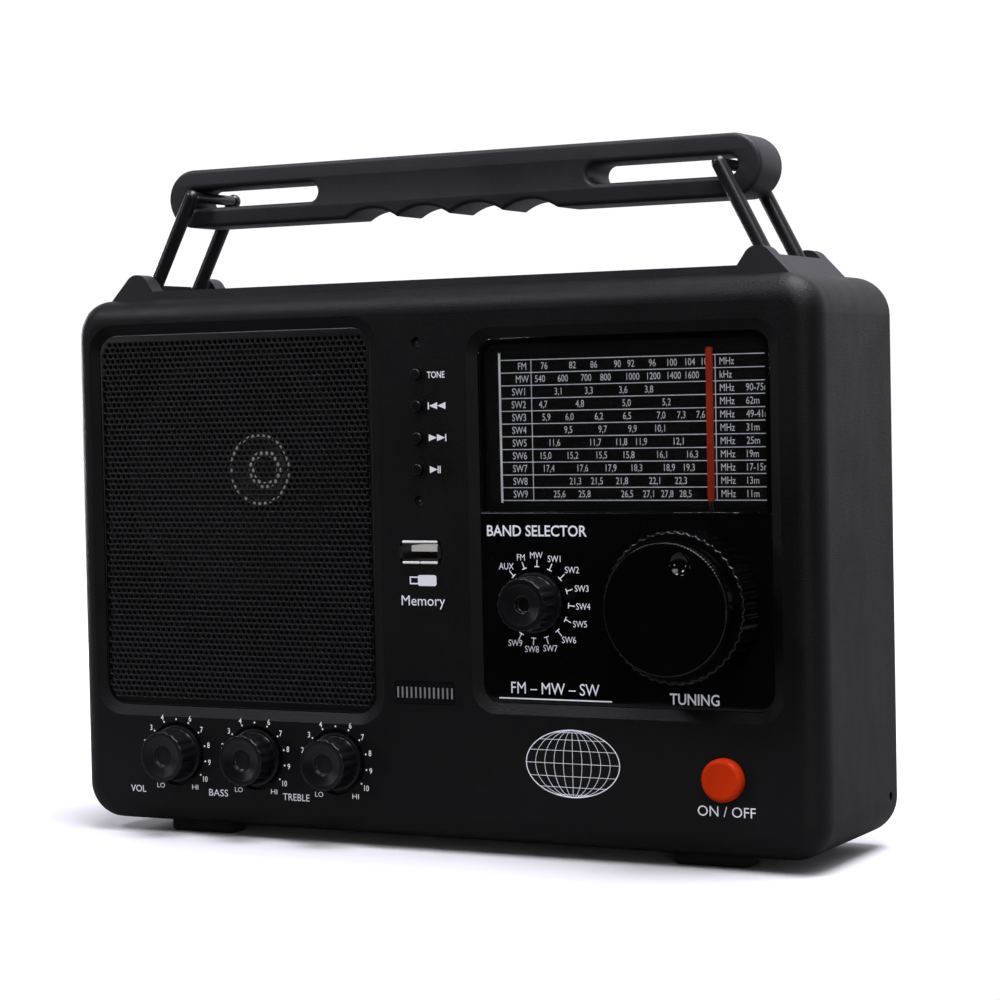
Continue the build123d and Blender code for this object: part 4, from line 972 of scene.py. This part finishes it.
@dataclass
class TuningKnob:
    """Large knob: a scalloped ring and a smooth cap with a fingertip's hollow, sizes in millimetres."""

    x: float = 90.0
    height: float = 74.8
    ring: float = 22.7
    cap: float = 19.7
    ring_proud: float = 10.4
    proud: float = 16.4
    seat: float = 1.2
    scallops: int = 46
    beads: int = 118
    groove: float = 10.0
    groove_deep: float = 0.035
    hollow: tuple[float, float, float, float] = (5.3, 13.4, 3.3, 1.5)

    def build(self, shop: Workshop) -> None:
        """Makes the ring and the cap."""
        r, front = self.ring, -self.ring_proud
        rim = quarter_round(r, front, 0.7)
        profile = [(0.0, self.seat), (r - 0.3, self.seat), (r, self.seat - 0.3)]
        profile += [(r, d) for d in np.linspace(self.seat - 0.8, front + 0.8, 14)] + rim
        profile += [(self.cap + 0.6, front), (self.cap + 0.1, front)]
        profile += [(self.cap - 0.6, front + 0.02), (0.0, front + 0.02)]
        cut = Flutes(self.scallops, 0.55, front - 1.0, self.seat + 1.0)
        shop.piece("tuning_ring", turned(profile, self.x, self.height, self.scallops * 12, cut), "tuning_knob",
                   "knob_plastic", ("tuning_knob",), finish="ring_plastic")
        c, face = self.cap, -self.proud
        edge = quarter_round(c, face, 0.45)
        flat = [(q, face + (self.groove_deep if abs(q - self.groove) < 0.12 else 0.0))
                for q in np.arange(c - 0.7, 0.3, -0.24)]
        sides = [(c, d) for d in np.linspace(front - 0.3, face + 0.6, 10)]
        profile = [(0.0, front - 0.02), (c - 0.2, front - 0.02)] + sides + edge + flat + [(0.0, face)]
        serration = Flutes(self.beads, 0.16, face - 1.0, face + 1.6)
        shell = turned(profile, self.x, self.height, self.beads * 5, serration, self.hollow)
        shop.piece("tuning_cap", shell, "tuning_knob", "knob_plastic", ("tuning_knob_cap",), finish="gloss_cap")


@dataclass
class Insert:
    """The clear window and the glossy panel below it, with eased edges, sizes in millimetres."""

    corner: float = 5.5
    square: float = 0.4
    edge: float = 0.42
    bore: float = 3.3
    bores: tuple[tuple[float, float], ...] = ((90.0, 74.8), (39.3, 74.8))

    def build(self, shop: Workshop) -> None:
        """Makes both plates."""
        holes = [arc(place, self.bore, 360, 0, 33)[:-1] for place in self.bores]
        self.sheet(shop, "window_sheet", "dial_window", "window_plastic", (self.square, self.corner), [])
        self.sheet(shop, "panel_sheet", "control_panel", "panel_plastic", (self.corner, self.square), holes)

    def sheet(self, shop: Workshop, name: str, node: str, slot: str, corners: tuple[float, float],
              holes: list[np.ndarray]) -> None:
        """Makes one plate in its node's box.

        Args:
            shop: the workshop.
            name: the piece's name.
            node: the node that it stands for.
            slot: its material slot.
            corners: radius of the two lower corners and of the two upper ones.
            holes: clockwise outlines of its holes.
        """
        (x0, front, z0), (x1, rear, z1) = shop.datum.box(node)
        under, over = corners
        outline = np.vstack([
            arc((x1 - under, z0 + under), under, -90, 0, 12), arc((x1 - over, z1 - over), over, 0, 90, 12),
            arc((x0 + over, z1 - over), over, 90, 180, 12), arc((x0 + under, z0 + under), under, 180, 270, 12)])
        shop.piece(name, plate([outline] + holes, front, rear, self.edge, 4), "root", slot, (node,))


@dataclass
class Dial:
    """Printed frequency table behind the window, sizes in millimetres."""

    depth: float = 4.2
    left: float = 27.4
    first_rule: float = 38.2
    second_rule: float = 98.6
    right: float = 116.6
    bottom: float = 105.8
    row: float = 3.893
    rule: float = 0.26
    blade_drop: float = 1.8
    blade_width: float = 2.2
    rows: tuple[tuple[str, str, str, str], ...] = (
        ("FM", "76 82 86 90 92 96 100 104 108", "42.7 52.2 59.3 67.1 71.5 78.5 84.9 90.7 95.9", "MHz"),
        ("MW", "540 600 700 800 1000 1200 1400 1600", "41.2 48.9 56.7 63.1 72.1 78.9 85.5 91.3", "kHz"),
        ("SW1", "3,1 3,3 3,6 3,8", "47.2 57.5 68.9 77.3", "MHz 90-75m"),
        ("SW2", "4,7 4,8 5,0 5,2", "42.1 54.4 69.9 82.9", "MHz 62m"),
        ("SW3", "5,9 6,0 6,2 6,5 7,0 7,3 7,6", "43.1 50.9 60.7 70.0 81.1 87.6 93.8", "MHz 49-41m"),
        ("SW4", "9,5 9,7 9,9 10,1", "50.4 61.9 71.7 80.7", "MHz 31m"),
        ("SW5", "11,6 11,7 11,8 11,9 12,1", "45.8 59.5 68.1 74.6 86.6", "MHz 25m"),
        ("SW6", "15,0 15,2 15,5 15,8 16,1 16,3", "42.7 51.8 61.4 70.4 81.2 91.0", "MHz 19m"),
        ("SW7", "17,4 17,6 17,9 18,3 18,9 19,3", "43.7 55.0 64.4 72.9 83.5 89.9", "MHz 17-15m"),
        ("SW8", "21,3 21,5 21,8 22,1 22,3", "52.4 59.6 67.9 78.6 87.1", "MHz 13m"),
        ("SW9", "25,6 25,8 26,5 27,1 27,8 28,5", "47.0 55.4 69.5 76.5 82.6 88.5", "MHz 11m"),
    )

    def build(self, shop: Workshop) -> None:
        """Prints the table: a rule between rows, band names, numbers and wavelengths."""
        ink = Printing(self.depth, squeeze=0.80)
        top = self.bottom + self.row * len(self.rows)
        for k in range(len(self.rows) + 1):
            level = self.bottom + self.row * k
            ink.line((self.left + 0.4, level), (self.right, level), self.rule)
        ink.line((self.left, self.bottom - 0.7), (self.left, top + 2.2), 0.75)
        for x in (self.first_rule, self.second_rule):
            ink.line((x, self.bottom), (x, top), self.rule)
        for k, (band, numbers, places, unit) in enumerate(self.rows):
            level = top - self.row * (k + 0.5)
            ink.word(band, self.first_rule - 1.4 - 3.0 * (len(band) > 2) - 1.6 * (len(band) < 3), level, 2.15)
            for number, x in zip(numbers.split(), places.split()):
                ink.word(number, float(x), level, 2.05)
            for word, x in zip(unit.split(), (self.second_rule + 1.4, self.second_rule + 9.6)):
                ink.word(word, x, level, 2.1, align=Align.LEFT)
        shop.piece("dial_print", ink.shell(), "root", "scale_print", finish="dial_ink_painted_glow", sharp=20)
        self.pointer(shop)

    def pointer(self, shop: Workshop) -> None:
        """The red blade over the table, and the dark carriage and stem that carry it behind the panel."""
        (x0, front, base), (x1, rear, top) = shop.datum.box("dial_pointer")
        x, start, end = (x0 + x1) / 2, self.bottom - 0.4, top - self.blade_drop
        blade = rounded_outline(x, (start + end) / 2, self.blade_width, end - start, 0.5, 5)
        shop.piece("pointer_blade", plate([blade], front, front + 0.5, 0.15, 3), "dial_pointer", "pointer_red",
                   ("dial_pointer",), sharp=50)
        carriage = rounded_outline(x, base + 2.5, x1 - x0 - 0.02, 4.98, 0.4, 4)
        stem = rounded_outline(x, (base + 4.0 + start + 2.0) / 2, 1.2, start + 2.0 - base - 4.0, 0.3, 4)
        parts = joined([plate([carriage], front, rear, 0.3, 3), prism(stem, front + 0.2, front + 0.45)])
        shop.piece("pointer_carriage", parts, "dial_pointer", "pointer_red", finish="component", sharp=50)


@dataclass
class PanelPrint:
    """Lettering on the glossy control panel, sizes in millimetres."""

    depth: float = 1.5
    band_x: float = 39.3
    band_height: float = 74.8
    first: float = -43.43
    step: float = 22.92
    bands: tuple[tuple[str, float, float], ...] = (
        ("AUX", 29.25, 85.75), ("FM", 34.34, 88.52), ("MW", 39.64, 89.21), ("SW1", 45.67, 88.14),
        ("SW2", 51.61, 84.84), ("SW3", 54.75, 79.25), ("SW4", 55.17, 73.82), ("SW5", 53.98, 68.48),
        ("SW6", 50.17, 63.61), ("SW7", 43.80, 60.93), ("SW8", 37.51, 60.53), ("SW9", 31.85, 62.29),
    )

    def build(self, shop: Workshop) -> None:
        """Prints the names, the selector's marks and a plain line of wavebands."""
        ink = Printing(self.depth)
        ink.word("BAND SELECTOR", 39.8, 96.62, 3.2, 34.0, 0.014)
        ink.word("TUNING", 91.23, 46.85, 3.2, 16.0, 0.012)
        ink.word("FM – MW – SW", 45.1, 48.6, 3.5, 30.0)
        ink.line((25.9, 45.3), (64.2, 45.3), 0.42)
        for k, (band, x, height) in enumerate(self.bands):
            angle = math.radians(self.first + self.step * k)
            out = np.array([math.sin(angle), math.cos(angle)])
            side = np.array([out[1], -out[0]])
            middle = np.array([self.band_x, self.band_height])
            ink.line(tuple(middle + out * 10.85), tuple(middle + out * 13.1), 0.34)
            ink.line(tuple(middle + out * 10.95 - side * 0.85), tuple(middle + out * 10.95 + side * 0.85), 0.34)
            ink.word(band, x, height, 1.95)
        shop.piece("panel_print", ink.shell(), "root", "panel_plastic", finish="ink", sharp=20)


@dataclass
class FrontPrint:
    """Lettering and signs on the cabinet's front, sizes in millimetres."""

    knobs: tuple[float, ...] = (-93.35, -62.85, -32.35)
    knob_height: float = 23.1
    step: float = 25.14
    button_top: float = 145.1
    button_pitch: float = 9.84
    globe: tuple[float, float, float, float] = (51.3, 26.2, 15.7, 10.2)
    captions: tuple[tuple[str, float, float, float, float], ...] = (
        ("VOL", -109.0, 10.94, 2.2, 6.0), ("BASS", -77.35, 11.0, 2.2, 7.4), ("TREBLE", -47.6, 11.0, 2.2, 10.0),
        ("ON / OFF", 101.5, 14.3, 3.0, 18.5), ("Memory", 0.65, 74.85, 3.1, 15.5),
    )

    def build(self, shop: Workshop) -> None:
        """Prints the names, the knobs' scales, the player's signs and a plain graticule."""
        ink = Printing(0.0)
        self.names(ink)
        for x in self.knobs:
            self.knob_scale(ink, x)
        self.player_signs(ink)
        self.socket_sign(ink)
        self.graticule(ink)
        shop.piece("front_print", ink.shell(), "root", "cabinet_plastic", finish="ink", sharp=20)

    def names(self, ink: Printing) -> None:
        """The controls' names."""
        for text, x, height, cap, width in self.captions:
            ink.word(text, x, height, cap, width)
        ink.word("TONE", 6.8, self.button_top - 0.3, 1.95, 6.2, 0.012)

    def knob_scale(self, ink: Printing, x: float) -> None:
        """Dots on a circle and the numbers outside them, with the two ends named below."""
        for number in range(1, 11):
            angle = math.radians(self.step * (number - 5))
            across, up = math.sin(angle), math.cos(angle)
            ink.dot(x + 11.3 * across, self.knob_height + 11.3 * up, 0.3)
            if number != 5:
                out = 12.9 if number < 10 else 13.5
                ink.word(str(number), x + out * across, self.knob_height + out * up, 1.75, weight=0.01)
        ink.word("LO", x - 6.6, 12.4, 1.55, 3.0)
        ink.word("HI", x + 6.9, 12.4, 1.55, 2.4)

    def player_signs(self, ink: Printing) -> None:
        """Previous, next and play signs beside their buttons: triangles and bars."""
        def triangle(tip: float, back: float, level: float) -> None:
            """A triangle from its tip to its upright back."""
            corners = np.array([(tip, level), (back, level + 1.1), (back, level - 1.1)])
            ink.area(corners if tip < back else corners[::-1])

        previous, following, play = (self.button_top - self.button_pitch * k - 0.05 for k in (1, 2, 3))
        ink.line((3.95, previous - 1.1), (3.95, previous + 1.1), 0.42)
        triangle(4.2, 7.1, previous)
        triangle(7.1, 10.0, previous)
        triangle(6.75, 3.85, following)
        triangle(9.65, 6.75, following)
        ink.line((9.86, following - 1.1), (9.86, following + 1.1), 0.42)
        triangle(6.75, 4.0, play)
        ink.line((6.95, play - 1.15), (6.95, play + 1.15), 0.4)
        ink.line((7.65, play - 1.15), (7.65, play + 1.15), 0.4)

    def socket_sign(self, ink: Printing) -> None:
        """Plain sign of a memory stick: a solid body and the outline of its plug."""
        level = 81.1
        ink.area(rounded_outline(2.2, level, 6.6, 3.4, 0.7, 5))
        for side in (-1, 1):
            ink.line((-3.8, level + side * 1.0), (-1.0, level + side * 1.0), 0.42)
        ink.line((-3.8, level + 1.2), (-3.8, level - 1.2), 0.42)

    def graticule(self, ink: Printing) -> None:
        """Plain net of an oval: parallels and meridians, half of the ellipses x = a sin(k) cos(t), z = b sin(t)."""
        x, height, wide, tall = self.globe
        turn = np.linspace(0, TURN, 96, endpoint=False)
        rim = np.stack([x + wide * np.cos(turn), height + tall * np.sin(turn)], axis=1)
        ink.path(rim, 0.32, closed=True)
        t = np.linspace(-math.pi / 2, math.pi / 2, 40)
        for k in np.linspace(-1, 1, 11)[1:-1]:
            ink.path(np.stack([x + wide * k * np.cos(t), height + tall * np.sin(t)], axis=1), 0.16)
        for k in np.linspace(-1, 1, 9)[1:-1]:
            level = math.sin(k * math.pi / 2)
            reach = wide * math.sqrt(1 - level**2)
            ink.line((x - reach, height + tall * level), (x + reach, height + tall * level), 0.16)


@dataclass
class Badge:
    """Plain raised reeding on the badge plate, sizes in millimetres."""

    x: float = 0.5
    height: float = 46.1
    span: float = 19.2
    tall: float = 3.4
    bars: int = 13
    stroke: float = 0.55

    def build(self, shop: Workshop) -> None:
        """Makes a row of short upright bars, all alike and evenly spaced."""
        low, _ = shop.datum.box("badge_plate")
        ink = Printing(low[1], thickness=0.12)
        for x in np.linspace(self.x - self.span / 2, self.x + self.span / 2, self.bars):
            ink.line((x, self.height - self.tall / 2), (x, self.height + self.tall / 2), self.stroke)
        shop.piece("badge_ornament", ink.shell(), "root", "badge_metal", finish="badge_edge", sharp=20)


@dataclass
class SocketContacts:
    """The four springs on the serial socket's tongue, sizes in millimetres."""

    pitch: float = 2.3
    width: float = 1.1
    lip: float = 0.75
    corners: float = 2.2

    def build(self, shop: Workshop) -> None:
        """Makes the strips on the tongue's underside and the lips, and gives the shell a dark copy of its metal as
        painted shade.
        """
        shop.frame["nodes"]["usb_shell"].data.materials[0] = shop.materials["shell_painted_shade"]
        (_, front, level), (_, rear, _) = shop.datum.box("usb_tongue")
        strips = []
        for k in range(4):
            x = (k - 1.5) * self.pitch
            outline = rounded_outline(x, level - 0.09, self.width, 0.22, 0.1, 4)
            strips.append(prism(outline, front + 0.6, rear - 0.5))
        shop.piece("socket_contacts", joined(strips), "root", "copper", sharp=50)
        # The lips wear a glowing finish: a painted highlight on their edges.
        shop.piece("socket_lips", self.lips(shop), "root", "chrome", finish="lip_painted_highlight", sharp=50)

    def lips(self, shop: Workshop) -> Shell:
        """The flared edges above and below the mouth: plates with round edges, standing just proud of the shell."""
        (x0, front, base), (x1, _, top) = shop.datum.box("usb_shell")
        middle, reach = (x0 + x1) / 2, x1 - x0 - self.corners
        upper, lower = top - self.lip / 2, base + self.lip / 2
        bars = []
        for level, start, end in ((upper, -0.5, 0.5), (lower, -0.5, -0.01), (lower, 0.01, 0.5)):
            x, width = middle + (start + end) / 2 * reach, (end - start) * reach
            outline = rounded_outline(x, level, width, self.lip, 0.25, 4)
            bars.append(plate([outline], front - 0.25, front + 0.35, 0.2, 3))
        return joined(bars)


@dataclass
class BatteryDoor:
    """The battery door with a ribbed patch for the thumbs, sizes in millimetres."""

    across: int = 201
    up: int = 121
    rib_pitch: float = 2.4
    rib_depth: float = 0.55
    patch: tuple[float, float, float] = (17.0, 5.5, 11.0)
    thumbs: float = 30.0
    edge: float = 0.4

    def build(self, shop: Workshop) -> None:
        """Makes the door: its outer face is a height field, raised cosines in two oval patches."""
        (x0, d0, z0), (x1, d1, z1) = shop.datum.box("battery_door")
        u, v = np.meshgrid(np.linspace(x0, x1, self.across), np.linspace(z0, z1, self.up), indexing="ij")
        wide, tall, drop = self.patch
        mask = np.zeros_like(u)
        for centre in ((x0 + x1) / 2 - self.thumbs, (x0 + x1) / 2 + self.thumbs):
            away = ((u - centre) / wide) ** 4 + ((v - (z1 - drop)) / tall) ** 4
            mask = np.maximum(mask, np.clip((1.0 - away) * 4, 0, 1))
        ribs = 0.5 - 0.5 * np.cos((v - z0) / self.rib_pitch * TURN)
        edge = np.minimum(np.minimum(u - x0, x1 - u), np.minimum(v - z0, z1 - v))
        round_off = self.edge * (1 - np.sqrt(1 - (1 - np.clip(edge / self.edge, 0, 1)) ** 2))
        outer = d1 - self.rib_depth * mask * ribs - round_off
        points = np.vstack([np.stack([u.ravel(), outer.ravel(), v.ravel()], axis=1),
                            np.stack([u.ravel(), np.full(u.size, d0), v.ravel()], axis=1)])
        i, j = np.meshgrid(np.arange(self.across - 1), np.arange(self.up - 1), indexing="ij")
        a = (i * self.up + j).ravel()
        face = np.stack([a, a + 1, a + self.up + 1, a + self.up], axis=1)
        ring = np.concatenate([np.arange(self.up - 1), (np.arange(self.across - 1)) * self.up + self.up - 1,
                               (self.across - 1) * self.up + np.arange(self.up - 1, 0, -1),
                               np.arange(self.across - 1, 0, -1) * self.up])
        after = np.roll(ring, -1)
        wall = np.stack([ring, ring + u.size, after + u.size, after], axis=1)
        shell = Shell(points, np.vstack([face, face[:, ::-1] + u.size, wall]))
        shop.piece("door_panel", shell.outward(), "battery_door", "cabinet_plastic", ("battery_door",), sharp=50)


@dataclass
class Receiver:
    """The whole receiver, as its sub-assemblies in the order that they are built."""

    assemblies: list[object] = field(default_factory=lambda: [
        SpeakerGrille(), Loudspeaker(), Handle(),
        RotaryKnob("volume_cap", "volume_knob", "volume_knob", -93.35, 23.1, 16.6, 9.0, 1.3),
        RotaryKnob("bass_cap", "bass_knob", "bass_knob", -62.85, 23.1, 16.6, 9.0, 1.3),
        RotaryKnob("treble_cap", "treble_knob", "treble_knob", -32.35, 23.1, 16.6, 9.0, 1.3),
        RotaryKnob("selector_cap", "band_selector_knob", "band_selector", 39.3, 74.8, 16.4, 9.0, 1.2, 2.6, 2.6),
        TuningKnob(), Insert(), Dial(), PanelPrint(), FrontPrint(), Badge(), SocketContacts(), BatteryDoor(),
    ])

    def build(self, shop: Workshop) -> None:
        """Dresses the carried-over nodes, then builds each sub-assembly."""
        shop.dress_nodes()
        for assembly in self.assemblies:
            assembly.build(shop)


# ------------------------------------------------------------------ studio
@dataclass
class Softbox:
    """A rectangular lamp that looks at the middle of the receiver; places in metres."""

    name: str
    place: tuple[float, float, float]
    width: float
    tall: float
    power: float
    target: tuple[float, float, float] = (0.0, 0.0, 0.1)
    colour: tuple[float, float, float] = (1.0, 1.0, 1.0)

    def build(self) -> None:
        """Makes the lamp."""
        lamp = bpy.data.lights.new(self.name, "AREA")
        lamp.shape, lamp.size, lamp.size_y, lamp.energy = "RECTANGLE", self.width, self.tall, self.power
        lamp.color = self.colour
        holder = bpy.data.objects.new(self.name, lamp)
        bpy.context.scene.collection.objects.link(holder)
        holder.location = self.place
        holder.rotation_euler = (Vector(self.target) - Vector(self.place)).to_track_quat("-Z", "Y").to_euler()


@dataclass
class Studio:
    """Pale floor, soft surroundings, lamps and the camera."""

    floor: tuple[float, float, float, float] = (-4.0, -0.15, 4.0, 6.0)
    bounce: float = 0.22
    lens: float = 96.82
    place: tuple[float, float, float] = (0.41266, -0.74936, 0.14041)
    right: tuple[float, float, float] = (0.88358761, 0.46780648, -0.020737)
    ahead: tuple[float, float, float] = (-0.46826475, 0.88281489, -0.0369591)
    lamps: tuple[Softbox, ...] = (
        Softbox("front_top", (0.58, -0.90, 1.20), 0.9, 0.6, 6.5),
        Softbox("key_left", (-0.75, 0.36, 0.22), 0.35, 0.22, 3.2, (-0.13, -0.02, 0.10), COOL),
        Softbox("top_left", (-0.66, -0.62, 0.97), 0.25, 0.25, 4.0, (-0.05, -0.02, 0.17), COOL),
        Softbox("glint_right", (1.20, -1.60, 0.30), 0.25, 0.25, 1.9),
        Softbox("glint_left", (-1.30, -0.90, 0.35), 0.25, 0.25, 0.9),
        Softbox("overhead", (0.35, 0.0, 1.5), 1.2, 0.9, 30.0, colour=COOL),
    )

    def build(self) -> None:
        """Makes the floor, the world, the lamps and the camera."""
        self.make_floor()
        self.make_world()
        for lamp in self.lamps:
            lamp.build()
        self.make_camera()
        bpy.context.scene.view_settings.view_transform = "Standard"

    def make_floor(self) -> None:
        """A flat pale sheet under the feet, as a grid of quads. It ends a little way in front of the receiver."""
        x0, y0, x1, y1 = self.floor
        x, y = np.meshgrid(np.linspace(x0, x1, 9), np.linspace(y0, y1, 9), indexing="ij")
        points = np.stack([x.ravel(), y.ravel(), np.zeros(x.size)], axis=1)
        i, j = np.meshgrid(np.arange(8), np.arange(8), indexing="ij")
        a = (i * 9 + j).ravel()
        mesh = bpy.data.meshes.new("floor")
        mesh.from_pydata(points.tolist(), [], np.stack([a, a + 9, a + 10, a + 1], axis=1).tolist())
        sheet = bpy.data.objects.new("floor", mesh)
        bpy.context.scene.collection.objects.link(sheet)
        mesh.materials.append(self.floor_finish())

    def floor_finish(self) -> bpy.types.Material:
        """Matt white sheet: it looks white, throws little light back on the receiver and fades into the distance."""
        made = Finish((0.95, 0.94, 0.95), 0.7, specular=0.0, uneven=0.03, tint=0.01).material("backdrop_sheet")
        bench = NodeBench(made.node_tree)
        shader = next(n for n in made.node_tree.nodes if n.type == "BSDF_PRINCIPLED")
        seen = bench.node("ShaderNodeLightPath").outputs["Is Camera Ray"]
        bench.link(bench.mix(seen, (self.bounce,) * 3, (0.95, 0.94, 0.95)), shader.inputs["Base Color"])
        away = bench.node("ShaderNodeVectorMath", operation="LENGTH")
        bench.link(bench.node("ShaderNodeTexCoord").outputs["Object"], away.inputs[0])
        far = bench.spread(away.outputs["Value"], 0.45, 1.3, 0.0, 0.9)
        bench.link(bench.sum("MULTIPLY", far, seen), shader.inputs["Emission Strength"])
        return made

    def make_world(self) -> None:
        """Soft surroundings: bright behind and beside the receiver, dim in front of it, and white where seen."""
        world = bpy.data.worlds.new("studio")
        bpy.context.scene.world = world
        world.use_nodes = True
        world.node_tree.nodes.clear()
        bench = NodeBench(world.node_tree)
        ways = bench.node("ShaderNodeSeparateXYZ")
        bench.link(bench.node("ShaderNodeTexCoord").outputs["Generated"], ways.inputs[0])
        level = bench.spread(ways.outputs["Y"], -0.10, 0.80, 0.02, 0.80)
        seen = bench.node("ShaderNodeLightPath").outputs["Is Camera Ray"]
        strength = bench.sum("MAXIMUM", level, bench.sum("MULTIPLY", seen, 1.1))
        back = bench.node("ShaderNodeBackground", {"Color": (0.94, 0.93, 1.0, 1.0)})
        bench.link(strength, back.inputs["Strength"])
        bench.link(back.outputs[0], bench.node("ShaderNodeOutputWorld").inputs["Surface"])

    def make_camera(self) -> None:
        """The camera, from its place and its right and forward directions."""
        right, ahead = Vector(self.right).normalized(), Vector(self.ahead).normalized()
        up = right.cross(ahead)
        lens = bpy.data.cameras.new("camera")
        lens.lens, lens.sensor_width, lens.clip_start, lens.clip_end = self.lens, 36.0, 0.05, 50.0
        camera = bpy.data.objects.new("camera", lens)
        bpy.context.scene.collection.objects.link(camera)
        turn = Matrix((right, up, -ahead)).transposed()
        camera.matrix_world = Matrix.Translation(self.place) @ turn.to_4x4()
        bpy.context.scene.camera = camera


def main() -> None:
    """Loads the frame, then builds the receiver and the studio."""
    logging.basicConfig(level=logging.INFO, format="%(name)s: %(message)s")
    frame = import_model()
    Receiver().build(Workshop(frame))
    Studio().build()
    bpy.context.view_layer.update()


if __name__ == "__main__":
    main()
